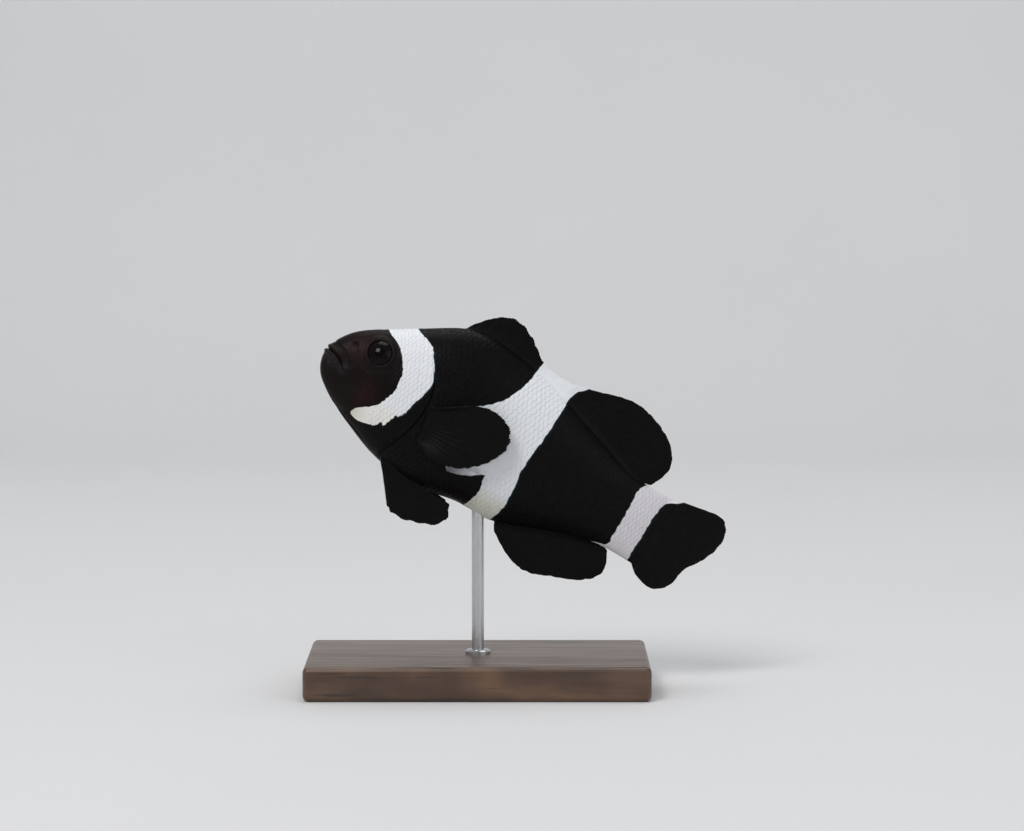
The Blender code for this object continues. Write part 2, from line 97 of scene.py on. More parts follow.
# Free edges of the fins, from the first ray's tip to the last one's.
SPINY_EDGE = (
    (24.4, 20.9), (27.6, 24.2), (31.2, 25.8), (35.6, 24.5), (38.8, 22.0), (41.6, 20.3), (49.0, 19.9),
)
SOFT_EDGE = ((48.2, 19.8), (54.0, 21.0), (60.5, 22.4), (66.7, 21.1), (71.2, 18.4), (73.7, 14.0), (71.9, 8.9))
ANAL_EDGE = (
    (48.0, -14.6), (52.5, -17.6), (57.6, -18.9), (63.0, -17.3), (68.6, -15.3), (72.0, -11.8), (70.6, -7.2),
)
TAIL_EDGE = (
    (79.4, 8.9), (85.4, 9.6), (90.2, 9.2), (92.0, 6.4), (91.0, 1.1),
    (89.4, -1.2), (87.4, -3.7), (86.5, -7.3), (83.1, -10.0), (78.0, -8.8),
)
PECTORAL_EDGE = (
    (29.0, 4.9), (34.4, 7.7), (38.6, 7.5), (41.4, 5.4), (42.2, 2.9),
    (41.6, 0.4), (39.4, -2.9), (34.4, -6.4), (28.8, -7.0),
)
PELVIC_EDGE = ((26.4, -21.1), (29.2, -21.3), (32.8, -20.4), (36.0, -19.1), (37.5, -16.0), (36.4, -14.0))
PELVIC_LAG = 0.9  # how much further back the left pelvic fin lies than the right one
PELVIC_LAG_RISE = 0.3  # how much higher it lies, as a share of that

# The white bars: their front and rear edges as (along, up), and the lower edge of the middle bar's lobe.
HEAD_FRONT = (
    (16.0, -8.6), (13.0, -7.7), (11.3, -7.35), (10.6, -6.8), (10.8, -6.0), (12.3, -4.6), (14.1, -3.3),
    (15.7, -0.9), (16.4, 3.8), (15.2, 7.2), (12.7, 10.0), (9.6, 11.4), (6.0, 13.5),
)
HEAD_REAR = (
    (9.5, -8.6), (12.3, -7.7), (14.8, -7.2), (17.0, -6.2), (18.6, -3.9), (20.1, -1.9), (21.3, 1.7),
    (22.2, 4.5), (22.5, 6.4), (22.0, 8.1), (20.4, 10.9), (18.6, 13.1), (15.1, 14.4), (12.0, 16.0),
)
MIDDLE_FRONT = (
    (34.5, -9.0), (33.6, -8.0), (32.0, -6.0), (29.6, -2.0), (29.2, 2.0), (31.6, 5.9), (33.3, 7.3),
    (35.8, 9.3), (37.9, 12.1), (39.5, 15.9), (40.4, 19.9), (41.4, 24.0),
)
MIDDLE_LOBE = (
    (24.0, -8.8), (28.0, -8.4), (31.0, -8.0), (34.5, -7.6), (37.5, -6.7), (40.1, -5.1), (43.0, -3.6),
)
MIDDLE_LOWER_FRONT = (
    (39.6, -15.0), (40.1, -12.4), (40.8, -10.4), (41.2, -7.9), (40.8, -6.0), (40.6, -4.0), (40.6, 24.0),
)
MIDDLE_REAR = (
    (45.6, -15.0), (46.0, -13.2), (47.2, -9.1), (47.2, -4.8), (46.8, -1.0), (47.0, 2.1),
    (47.4, 5.2), (47.9, 9.0), (48.4, 14.0), (49.3, 18.4), (50.8, 19.8), (52.5, 24.0),
)
STALK_FRONT = (
    (66.4, -12.0), (66.4, -7.0), (69.2, -6.2), (69.6, -3.5),
    (69.8, 2.8), (70.2, 7.4), (71.4, 8.7), (73.5, 12.0),
)
STALK_REAR = (
    (75.2, -12.0), (75.1, -6.9), (74.9, -4.8), (75.2, -1.0),
    (75.6, 4.6), (76.7, 7.1), (79.8, 8.8), (82.0, 12.0),
)

RANDOM = np.random.default_rng(7)


# --- Curves and shapes ---


def ramp(value, low, high):
    """0 below low, 1 above high, and smooth between them."""
    share = np.clip((np.asarray(value, float) - low) / (high - low), 0.0, 1.0)
    return share * share * (3.0 - 2.0 * share)


def window(value, low, full, waning, high):
    """0 below low and above high, 1 between full and waning, and smooth between them."""
    return ramp(value, low, full) * ramp(-value, -high, -waning)


def hump(value, width):
    return np.exp(-np.square(np.asarray(value, float) / width))


def band(gap, height, distance, width):
    """A ridge, or a crease if its height is negative, that runs at a distance from its line."""
    return height * hump(gap - distance, width)


def natural_spline(knots, values):
    """The natural cubic spline through the values at the knots, as a function of an array."""
    knots = np.asarray(knots, float)
    values = np.asarray(values, float)
    span = np.diff(knots)
    slope = np.diff(values) / span
    system = np.eye(len(knots))
    pull = np.zeros(len(knots))
    for i in range(1, len(knots) - 1):
        system[i, i - 1 : i + 2] = span[i - 1], 2 * (span[i - 1] + span[i]), span[i]
        pull[i] = 6 * (slope[i] - slope[i - 1])
    curl = np.linalg.solve(system, pull)

    def read(at):
        at = np.asarray(at, float)
        i = np.clip(np.searchsorted(knots, at, side="right") - 1, 0, len(span) - 1)
        before = at - knots[i]
        after = knots[i + 1] - at
        bend = (curl[i] * after**3 + curl[i + 1] * before**3) / (6 * span[i])
        first = (values[i] / span[i] - curl[i] * span[i] / 6) * after
        second = (values[i + 1] / span[i] - curl[i + 1] * span[i] / 6) * before
        return bend + first + second

    return read


def across(line):
    """A side-view line as a function that gives the place along the fish at a height."""
    places, heights = np.array(line, float).T
    return natural_spline(heights, places)


def smooth_line(line, count=60):
    """Points spaced evenly by chord along a smooth line."""
    points = np.array(line, float)
    chords = np.linalg.norm(np.diff(points, axis=0), axis=1)
    knots = np.concatenate([[0.0], np.cumsum(chords)])
    at = np.linspace(0.0, knots[-1], count)
    return np.stack([natural_spline(knots, points[:, axis])(at) for axis in (0, 1)], axis=1)


def gap_to(line, along, up):
    """How far points of the side view are from a smooth line."""
    points = smooth_line(line)
    nearest = np.full(np.shape(along), np.inf)
    for first, last in zip(points, points[1:]):
        run = last - first
        share = ((along - first[0]) * run[0] + (up - first[1]) * run[1]) / (run @ run)
        share = np.clip(share, 0.0, 1.0)
        gap = np.hypot(along - first[0] - share * run[0], up - first[1] - share * run[1])
        nearest = np.minimum(nearest, gap)
    return nearest


def behind(edge, along, up):
    """How far points lie behind an edge that runs from below to above, negative in front of it."""
    step = 0.05
    slope = (edge(up + step) - edge(up - step)) / (2 * step)
    return (along - edge(up)) / np.sqrt(1.0 + slope * slope)


# --- The body's surface ---

STATION_ROOTS = np.sqrt([station[0] for station in STATIONS])
SECTION = [natural_spline(STATION_ROOTS, column) for column in np.array(STATIONS).T[1:]]
gill_edge = across(GILL_EDGE)
cheek_edge = across(CHEEK_EDGE)


def back_at(along):
    return SECTION[0](np.sqrt(along))


def belly_at(along):
    return SECTION[1](np.sqrt(along))


def half_width_at(along, up):
    """Half the body's width at points of its side view, and 0 off the body."""
    back, belly, half_width, widest, pinch_above, pinch_below = (part(np.sqrt(along)) for part in SECTION)
    above = up > widest
    share = (up - widest) / np.where(above, back - widest, widest - belly)
    pinch = np.where(above, pinch_above, pinch_below)
    return half_width * np.sqrt(np.clip(1 - share * share, 0.0, 1.0)) ** pinch


def shell(root, angle):
    """Points of the plain body. root is the square root of the place along it; angle runs from the
    back down the left side and round."""
    back, belly, half_width, widest, pinch_above, pinch_below = (part(root) for part in SECTION)
    rise, out = np.cos(angle), np.sin(angle)
    above = rise > 0
    up = widest + rise * np.where(above, back - widest, widest - belly)
    aside = -np.sign(out) * half_width * np.abs(out) ** np.where(above, pinch_above, pinch_below)
    return np.stack([root * root, aside, up], axis=-1)


def unit(vectors):
    return vectors / np.maximum(np.linalg.norm(vectors, axis=-1, keepdims=True), 1e-12)


def shell_normal(root, angle):
    step = 1e-3
    round_it = shell(root, angle + step) - shell(root, angle - step)
    along_it = shell(root + step, angle) - shell(np.maximum(root - step, 0.0), angle)
    return unit(np.cross(round_it, along_it))


COAT = 0.12  # how deep the skin lies under the scales' outer face
BARE_COAT = 0.05
# Where scales begin: along the cheek, out from the eye's centre, and along and up to the crown.
SCALY_CHEEK = (9.5, 12.0)
SCALY_FROM_EYE = (3.4, 4.2)
SCALY_CROWN = (7.0, 9.0)
SCALY_TOP = (10.0, 11.0)

# Ridges and creases of the skin: the height of each, its distance from its line, and its half width.
LIP_ROLL = (0.30, 0.58, 0.38)
UPPER_LIP_FOLD = (-0.15, 0.0, 0.22)
LOWER_LIP_FOLD = (-0.12, 0.0, 0.24)
NOSTRIL_RIM = (0.12, 0.50, 0.16)
NOSTRIL_PIT = (-0.45, 0.0, 0.24)
EYE_RIM = (0.10, 0.42, 0.34)
EYE_FOLD = (-0.06, 1.25, 0.32)
UNDER_EYE_FOLD = (-0.10, 4.3, 0.22)
CHEEK_HOLLOW = (-0.10, 0.0, 1.1)
GILL_RIM = (0.12, 0.0, 1.6)
JAW_FOLD = (-0.26, 0.0, 0.24)
THROAT_FOLD = (-0.12, 0.0, 0.30)
VENT_PIT = (-0.5, 0.0, 0.45)
VENT_RIM = (0.12, 0.8, 0.3)
MOUTH_WIDTH = 0.15
MOUTH_DEPTHS = (0.50, 0.20)  # at the snout and at the corner
MOUTH_CORNER = (3.6, 5.2)
SOCKET_DEPTH = 1.5
SOCKET_WALL = (-0.25, 0.12)  # how far within and outside its radius its wall runs
VENT_PLACE = 45.0
GILL_STEP = 0.10  # how far back the skin drops behind a gill cover's edge
GILL_DROP = 0.42
GILL_REACH = 1.6
# Heights, or places along the head, between which each of these grows to its full size and fades.
CHEEK_HEIGHTS = (-8.2, -7.2, 7.2, 8.6)
GILL_HEIGHTS = (-12.6, -11.0, 8.6, 10.2)
JAW_FOLD_PLACES = (2.0, 4.0, 13.5, 17.0)
THROAT_FOLD_PLACES = (1.5, 3.0, 7.0, 9.0)
UNDERSIDE = (-3.2, -1.2)  # the belly line less the height, where the underside's folds start and are full
JAW_WIDTH = (0.55, 0.13, 3.0)  # half of it in front, and how much it widens by, behind which place
UNDER_EYE_OUT = (4.1, 4.5)
UNDER_EYE_TURN = (0.2, 0.6)
UNDER_EYE_DROP = (0.4, 1.6)


def from_eye(along, up):
    return np.hypot(along - EYE_CENTRE[0], up - EYE_CENTRE[1])


def scaly(along, up):
    """1 where the skin carries scales, and 0 on the snout, the lips and round the eye."""
    cheek = ramp(along, *SCALY_CHEEK) * ramp(from_eye(along, up), *SCALY_FROM_EYE)
    crown = ramp(along, *SCALY_CROWN) * ramp(up, *SCALY_TOP)
    return np.maximum(cheek, crown)


def under_eye(along, up):
    """1 below and behind the eye, where a fold runs round it."""
    turn = -np.arctan2(up - EYE_CENTRE[1], along - EYE_CENTRE[0])
    behind_it = ramp(from_eye(along, up), *UNDER_EYE_OUT) * ramp(turn, *UNDER_EYE_TURN)
    return np.maximum(behind_it, ramp(EYE_CENTRE[1] - up, *UNDER_EYE_DROP))


def relief(points, under_gills=False):
    """How far the skin stands out of the plain body: lips, nostrils, the eyes' rims and the gill covers'
    edges. With under_gills, the covers are taken off, so that the trunk runs on beneath them."""
    along, aside, up = points[..., 0], points[..., 1], points[..., 2]
    mouth = gap_to(MOUTH, along, up)
    shut, corner = MOUTH_DEPTHS
    depth = shut - (shut - corner) * ramp(along, *MOUTH_CORNER)
    height = band(mouth, *LIP_ROLL) - depth * hump(mouth, MOUTH_WIDTH)
    height += band(gap_to(UPPER_LIP, along, up), *UPPER_LIP_FOLD)
    height += band(gap_to(LOWER_LIP, along, up), *LOWER_LIP_FOLD)
    nostril = np.hypot(along - NOSTRIL[0], up - NOSTRIL[1])
    height += band(nostril, *NOSTRIL_RIM) + band(nostril, *NOSTRIL_PIT)
    eye = from_eye(along, up)
    rim = eye - SOCKET_RADIUS
    height -= SOCKET_DEPTH * (1 - ramp(rim, *SOCKET_WALL))
    bare = 1 - scaly(along, up)
    height += band(rim, *EYE_RIM) + bare * band(rim, *EYE_FOLD)
    height += bare * under_eye(along, up) * band(eye, *UNDER_EYE_FOLD)
    height += window(up, *CHEEK_HEIGHTS) * band(behind(cheek_edge, along, up), *CHEEK_HOLLOW)
    gill = behind(gill_edge, along, up)
    behind_it = -GILL_DROP * np.exp(-np.maximum(gill, -GILL_REACH) / GILL_REACH)
    on_cover = (gill < GILL_STEP / 2) & ~np.asarray(under_gills)
    height += window(up, *GILL_HEIGHTS) * np.where(on_cover, band(gill, *GILL_RIM), behind_it)
    low = ramp(belly_at(np.maximum(along, 0.2)) - up, *UNDERSIDE)
    narrow, widening, start = JAW_WIDTH
    jaw = np.abs(aside) - (narrow + widening * np.maximum(along - start, 0.0))
    height += low * window(along, *JAW_FOLD_PLACES) * band(jaw, *JAW_FOLD)
    height += low * window(along, *THROAT_FOLD_PLACES) * band(aside, *THROAT_FOLD)
    vent = np.hypot(along - VENT_PLACE, aside)
    height += (up < 0) * (band(vent, *VENT_PIT) + band(vent, *VENT_RIM))
    return height


def skin_depth(points):
    return BARE_COAT + (COAT - BARE_COAT) * scaly(points[..., 0], points[..., 2])


def to_world(points):
    """Points of the straight fish, in metres in the frame."""
    points = np.asarray(points, float)
    steps = np.linspace(*SWING_LINE)
    heading = TAIL_SWING * ramp(steps, SWING_FROM, SWING_TO)
    stride = steps[1] - steps[0]
    back = steps[0] + np.cumsum(np.cos(heading) * stride) - stride
    aside = np.cumsum(np.sin(heading) * stride)
    back, aside, heading = (np.interp(points[..., 0], steps, line) for line in (back, aside, heading))
    x = (back - points[..., 1] * np.sin(heading)) * UNIT
    y = (aside + points[..., 1] * np.cos(heading)) * UNIT
    z = points[..., 2] * UNIT
    cos, sin = math.cos(NOSE_UP), math.sin(NOSE_UP)
    over_rod = (ROD_AT * cos + float(belly_at(ROD_AT)) * sin) * UNIT
    return np.stack([x * cos + z * sin - over_rod, y, z * cos - x * sin + SNOUT_HEIGHT], axis=-1)


# --- Meshes ---


def mesh_of(name, points, *face_groups):
    """A mesh of world points and groups of faces, each group an array with one face in each row."""
    mesh = bpy.data.meshes.new(name)
    faces = [face for group in face_groups for face in group.tolist()]
    mesh.from_pydata(np.asarray(points, float).tolist(), [], faces)
    mesh.validate()
    return mesh


def add_vectors(mesh, name, values):
    made = mesh.attributes.new(name, "FLOAT_VECTOR", "POINT")
    made.data.foreach_set("vector", np.asarray(values, np.float32).ravel())


def add_object(name, data, material=None):
    obj = bpy.data.objects.new(name, data)
    bpy.context.scene.collection.objects.link(obj)
    if material:
        data.materials.clear()
        data.materials.append(material)
        data.shade_smooth()
    return obj


def read_numbers(items, name, width=1, kind=np.int32):
    values = np.empty(len(items) * width, kind)
    items.foreach_get(name, values)
    return values.reshape(-1, width) if width > 1 else values


def read_points(mesh):
    return read_numbers(mesh.vertices, "co", 3, np.float32)


def read_vectors(mesh, name):
    return read_numbers(mesh.attributes[name].data, "vector", 3, np.float32)


def lay_map(mesh, flat):
    """The map named OFBake, from a place on it for each corner of the faces."""
    layer = mesh.uv_layers.new(name="OFBake", do_init=False)
    layer.uv.foreach_set("vector", flat.astype(np.float32).ravel())


def fan(hub, rim):
    """Triangles from a hub to a closed rim."""
    return np.stack([np.full(len(rim), hub), rim, np.roll(rim, -1)], axis=1)


def tree_of(points):
    tree = kdtree.KDTree(len(points))
    for index, point in enumerate(points):
        tree.insert(point, index)
    tree.balance()
    return tree


def grid_faces(rows, columns, closed=False):
    """The quads of a grid of points, rows by columns, joined round its rows if closed."""
    index = np.arange(rows * columns).reshape(rows, columns)
    if closed:
        index = np.concatenate([index, index[:, :1]], axis=1)
    corners = (index[:-1, :-1], index[:-1, 1:], index[1:, 1:], index[1:, :-1])
    return np.stack([corner.ravel() for corner in corners], axis=1)


# --- The body ---

RING_POINTS = 320
GILL_RING = 21.5
# The body's rings, close together on the snout and the head: first and last place, and count or step.
SNOUT_ROOTS = (0.06, 1.1, 26)
HEAD_RINGS = (1.35, GILL_RING - 0.05, 0.16)
THROAT_RINGS = (GILL_RING + GILL_STEP + 0.15, 27.0, 0.2)
TRUNK_RINGS = (27.3, 70.0, 0.4)
TAIL_RINGS = (70.3, BODY_END, 30)
GILL_PULL = 5.0  # how far from the gill opening the rings still follow it
GILL_ROUNDS = 12


def body_grid():
    """Roots and angles of the body's grid. One ring follows the gill opening, so that its step is crisp."""
    head, throat, trunk = (np.arange(*rings) for rings in (HEAD_RINGS, THROAT_RINGS, TRUNK_RINGS))
    gills = [GILL_RING, GILL_RING + GILL_STEP]
    snout, tail = np.linspace(*SNOUT_ROOTS) ** 2, np.linspace(*TAIL_RINGS)
    places = np.concatenate([snout, head, gills, throat, trunk, tail])[:, None]
    angle = np.linspace(0.0, math.tau, RING_POINTS, endpoint=False)[None, :]
    along = places + 0 * angle
    pull = hump(places - GILL_RING, GILL_PULL)
    for _ in range(GILL_ROUNDS):
        up = shell(np.sqrt(along), angle)[..., 2]
        along = places + pull * (gill_edge(up) - GILL_RING)
    return np.sqrt(along), angle + 0 * places


def body_mesh():
    root, angle = body_grid()
    plain = shell(root, angle)
    points = plain + shell_normal(root, angle) * (relief(plain) - skin_depth(plain))[..., None]
    nose = np.array([[BARE_COAT, 0.0, STATIONS[0][1]]])
    straight = np.concatenate([points.reshape(-1, 3), nose])
    around = np.arange(RING_POINTS)
    cap = ((len(points) - 1) * RING_POINTS + around)[None, :]
    faces = grid_faces(len(points), RING_POINTS, closed=True)
    mesh = mesh_of("body", to_world(straight), faces, fan(len(straight) - 1, around)[:, ::-1], cap)
    add_vectors(mesh, "fish", straight)
    add_vectors(mesh, "fin", np.tile([0.0, 0.0, 1.0], (len(straight), 1)))
    return mesh


# --- The fins ---

FIN_SINK = 0.9  # how far a root lies under the back or the belly
TAIL_SINK = 2.7  # how far the body runs on over the tail fin's root
# The fins' roots: their ends along the back or the belly, or in the side view.
SPINY_ROOT = (22.4, 47.5)
SOFT_ROOT = (46.9, 68.6)
ANAL_ROOT = (46.6, 68.6)
TAIL_ROOT = ((76.4, 7.4), (75.2, -6.3))
PECTORAL_ROOT = ((24.4, 1.8), (25.2, -5.4))
PELVIC_ROOT = ((20.2, -12.2), (25.2, -12.9))
# How the fins stand aside.
TAIL_CURLS = (0.7, 3.7)  # at the upper and the lower edge
TAIL_REACH = 14.6
PECTORAL_PLACE = 25.0
PECTORAL_SINK = 0.5
PECTORAL_FLARE = 3.4
PECTORAL_BULGE = 0.8
PELVIC_ASIDE = 2.2
PELVIC_FLARES = (2.6, 1.4)  # at the front and the rear edge


def between(first, last):
    first, last = np.array(first), np.array(last)
    return lambda share: first + (last - first) * share[:, None]


def on_body(height_at, sink, start, end):
    """A fin's root along the back or the belly."""

    def root(share):
        along = start + (end - start) * share
        return np.stack([along, height_at(along) + sink], axis=1)

    return root


def rippled(size, waves):
    return lambda along, up, share, out: size * out * np.sin(math.tau * waves * share)


def curled(along, up, share, out):
    """The tail fin's lower lobe curls aside more than its upper one."""
    reach = (along - TAIL_ROOT[0][0]) / TAIL_REACH
    above, below = TAIL_CURLS
    return (above + (below - above) * share) * reach * reach


def flared(way):
    def aside(along, up, share, out):
        root = half_width_at(PECTORAL_PLACE + 0 * up, up) - PECTORAL_SINK
        return way * (root + PECTORAL_FLARE * out + PECTORAL_BULGE * np.sin(math.pi * out))

    return aside


def hanging(way):
    front, rear = PELVIC_FLARES
    return lambda along, up, share, out: way * (PELVIC_ASIDE + (front + (rear - front) * share) * out)


def fin_table():
    """Each fin: its name, root, free edge, rays and place across the fish; how far the edge is drawn in
    between two rays, as a share of a ray, and between two branches; half a ray's thickness at root and
    tip; whether its rays branch and the bars cross it; and how far the root lies under, if not FIN_SINK."""
    table = [
        ("dorsal_fin_spiny", on_body(back_at, -FIN_SINK, *SPINY_ROOT), SPINY_EDGE, 11, rippled(0.35, 1.5),
         0.040, 0.10, (0.30, 0.13), False, True),
        ("dorsal_fin_soft", on_body(back_at, -FIN_SINK, *SOFT_ROOT), SOFT_EDGE, 15, rippled(0.7, 0.9),
         0.010, 0.07, (0.27, 0.15), True, True),
        ("anal_fin", on_body(belly_at, FIN_SINK, *ANAL_ROOT), ANAL_EDGE, 14, rippled(-0.6, 0.8),
         0.012, 0.08, (0.27, 0.15), True, False),
        ("caudal_fin", between(*TAIL_ROOT), TAIL_EDGE, 16, curled,
         0.008, 0.07, (0.30, 0.15), True, True, TAIL_SINK),
    ]
    for side, way, lag in (("left", -1, PELVIC_LAG), ("right", 1, 0.0)):
        pelvic_edge = [(along + lag, up + PELVIC_LAG_RISE * lag) for along, up in PELVIC_EDGE]
        table.append((f"pectoral_fin_{side}", between(*PECTORAL_ROOT), PECTORAL_EDGE, 17, flared(way),
                      0.014, 0.27, (0.24, 0.14), True, False))
        table.append((f"pelvic_fin_{side}", between(*PELVIC_ROOT), pelvic_edge, 6, hanging(way),
                      0.02, 0.10, (0.30, 0.16), True, False))
    return table


COLUMNS_A_RAY = 16
FIN_ROWS = 64
# How far out a ray forks, and how far its branches part, in ray spans.
FIRST_FORK = 0.42
SECOND_FORK = 0.70
WIDE_FORK = 0.25
NARROW_FORK = 0.12
RAY_WIDTH = 0.62  # in half thicknesses of a ray
RAY_RISE = 1.4  # how far from the body the rays reach their full height
MEMBRANE = (0.20, 0.09)  # half thickness at the root and at the free edge
FILLET = 0.45
FILLET_FADE = 0.55
RIM_ROUNDING = 0.2
RIM_BLUNT = 0.12  # how much of that is left flat at the rim
WEAR_STEP = 0.25  # the free edge is worn by chance at every quarter of a ray
WEAR_BETWEEN_RAYS = (0.4, 1.2)
WEAR_OF_TIPS = 0.9


def forks(place, out, branching):
    """Distance from the nearest branch of a ray, in ray spans, at places across a fin."""
    off = place - np.round(place)
    if not branching:
        return np.abs(off)
    wide = WIDE_FORK * ramp(out, FIRST_FORK, 1.0)
    narrow = NARROW_FORK * ramp(out, SECOND_FORK, 1.0)
    return np.abs(np.abs(np.abs(off) - wide) - narrow)


def drawn_in(place, length, scallop, tooth):
    """How far the free edge is drawn in, as a share of each line from root to edge."""
    between_rays = np.sin(math.pi * place) ** 2
    between_tips = np.cos(2 * math.tau * place) ** 2
    chances = RANDOM.random(int(place[-1] / WEAR_STEP) + 1)
    worn = np.interp(place, np.arange(0.0, place[-1] + WEAR_STEP, WEAR_STEP), chances)
    least, more = WEAR_BETWEEN_RAYS
    teeth = tooth / length * (between_tips + WEAR_OF_TIPS * worn)
    return scallop * between_rays * (least + more * worn) + teeth


def rim_of(grid):
    return np.concatenate([grid[0], grid[1:, -1], grid[-1, -2::-1], grid[-2:0:-1, 0]])


def fin_mesh(name, root, edge, rays, aside, scallop, tooth, ray, branching, barred, sink=FIN_SINK):
    columns = COLUMNS_A_RAY * (rays - 1) + 1
    place = np.linspace(0.0, rays - 1.0, columns)
    share = place / (rays - 1)
    start = root(share)
    reach = smooth_line(edge, columns) - start
    length = np.linalg.norm(reach, axis=1)
    full = 1 - drawn_in(place, length, scallop, tooth)
    out = np.linspace(0.0, 1.0, FIN_ROWS)[None, :] * full[:, None]
    share, place = share[:, None] + 0 * out, place[:, None] + 0 * out
    side_view = start[:, None, :] + reach[:, None, :] * out[..., None]
    along, up = side_view[..., 0], side_view[..., 1]
    middle = np.stack([along, aside(along, up, share, out), up], axis=-1)
    over, outward = np.gradient(middle, axis=0), np.gradient(middle, axis=1)
    normal = unit(np.cross(over, outward))
    span = np.linalg.norm(over, axis=-1) * COLUMNS_A_RAY
    thick = ray[0] + (ray[1] - ray[0]) * out
    thin = MEMBRANE[0] + (MEMBRANE[1] - MEMBRANE[0]) * out
    from_root = out * length[:, None] - sink
    ridge = hump(forks(place, out, branching) * span, RAY_WIDTH * thick) * ramp(from_root, 0.0, RAY_RISE)
    half = thin + (thick - thin) * ridge
    half = half + FILLET * np.exp(-np.maximum(from_root, 0.0) / FILLET_FADE)
    to_tip = (out[:, -1:] - out) * length[:, None]
    to_side = np.minimum(place, rays - 1 - place) * span
    for gap in (to_tip, to_side):
        half = half * np.sqrt(1 - (1 - np.clip(gap / RIM_ROUNDING + RIM_BLUNT, 0, 1)) ** 2)
    count = columns * FIN_ROWS
    points = np.concatenate([(middle + way * normal * half[..., None]).reshape(-1, 3) for way in (1, -1)])
    sheet = grid_faces(columns, FIN_ROWS)
    rim = rim_of(np.arange(count).reshape(columns, FIN_ROWS))
    after = np.roll(rim, -1)
    wall = np.stack([rim, after, after + count, rim + count], axis=1)
    mesh = mesh_of(name, to_world(points), sheet[:, ::-1], sheet + count, wall)
    add_vectors(mesh, "fish", points)
    fields = np.stack([place, out * length[:, None], float(barred) + 0 * out], axis=-1).reshape(-1, 3)
    add_vectors(mesh, "fin", np.concatenate([fields, fields]))
    return mesh


# --- One skin ---

FLESH = (
    "head", "lower_jaw", "gill_cover_left", "gill_cover_right", "trunk_front", "trunk_band", "trunk_rear",
    "tail_stalk", "dorsal_fin_spiny", "dorsal_fin_soft", "anal_fin", "caudal_fin", "pectoral_fin_left",
    "pectoral_fin_right", "pelvic_fin_left", "pelvic_fin_right",
)


def drop_flakes(mesh):
    """Deletes the flakes that a union can leave: up to four corners joined to nothing else."""
    shape = bmesh.new()
    shape.from_mesh(mesh)
    flakes = set()
    for corner in shape.verts:
        if len(corner.link_edges) < 4:
            near = {edge.other_vert(corner) for edge in corner.link_edges}
            group = near | {edge.other_vert(spot) for spot in near for edge in spot.link_edges}
            if len(group) <= 4:
                flakes |= group
    bmesh.ops.delete(shape, geom=list(flakes), context="VERTS")
    shape.to_mesh(mesh)
    shape.free()


def joined(name, meshes):
    """One mesh of everything inside any of the closed meshes, without what lies between them."""
    first = add_object("joining", meshes[0])
    others = [add_object(f"joining_{i}", mesh) for i, mesh in enumerate(meshes[1:])]
    for other in others:
        step = first.modifiers.new(other.name, "BOOLEAN")
        step.operation = "UNION"
        step.object = other
        step.solver = "MANIFOLD"
    graph = bpy.context.evaluated_depsgraph_get()
    made = bpy.data.meshes.new_from_object(first.evaluated_get(graph), depsgraph=graph)
    made.name = name
    for obj in (first, *others):
        bpy.data.objects.remove(obj)
    drop_flakes(made)
    return made


WELD_GAP = 2e-6  # the union's new corners lie at least this far from the old ones, in metres
WELD_REACH = 0.0005
WELD_ROUNDS = 12
WELD_PULL = 0.6


def smooth_near(mesh, seeds):
    """Relaxes a mesh near the seed vertices, so that a fin's root runs smoothly into the body."""
    points = read_points(mesh).astype(float)
    size = len(points)
    tree = tree_of(points[seeds])
    gap = np.full(size, np.inf)
    low, high = points[seeds].min(0) - 3 * WELD_REACH, points[seeds].max(0) + 3 * WELD_REACH
    for index in np.flatnonzero(np.all((points > low) & (points < high), axis=1)):
        gap[index] = tree.find(points[index])[2]
    weight = (WELD_PULL * hump(gap, WELD_REACH))[:, None]
    a, b = read_numbers(mesh.edges, "vertices", 2).T
    near = (weight[a, 0] > 1e-3) | (weight[b, 0] > 1e-3)
    a, b = a[near], b[near]
    count = np.bincount(a, minlength=size) + np.bincount(b, minlength=size)
    for _ in range(WELD_ROUNDS):
        total = [np.bincount(a, line[b], size) + np.bincount(b, line[a], size) for line in points.T]
        mean = np.stack(total, axis=1) / np.maximum(count, 1)[:, None]
        points += np.where(count[:, None] > 0, weight * (mean - points), 0.0)
    mesh.vertices.foreach_set("co", points.astype(np.float32).ravel())
    mesh.update()


UV_BODY_WIDTH = 0.62  # the body's two sides fill this much of the map, and the fins the rest
UV_FIN_ROWS = 8
UV_MARGIN = 0.012
HEAD_SHARE = 0.35  # how far the map favours the head


def body_place(fish):
    """Places on the body as (share of its length, share of the way from back to belly)."""
    along = np.clip(fish[:, 0], 0.0, BODY_END)
    back, belly, _, widest, _, _ = (part(np.sqrt(along)) for part in SECTION)
    rise = fish[:, 2] - widest
    rise /= np.maximum(np.where(rise > 0, back - widest, widest - belly), 1e-6)
    share = along / BODY_END
    forward = HEAD_SHARE * np.sqrt(share) + (1 - HEAD_SHARE) * share
    return np.stack([forward, np.arccos(np.clip(rise, -1.0, 1.0)) / math.pi], axis=1)


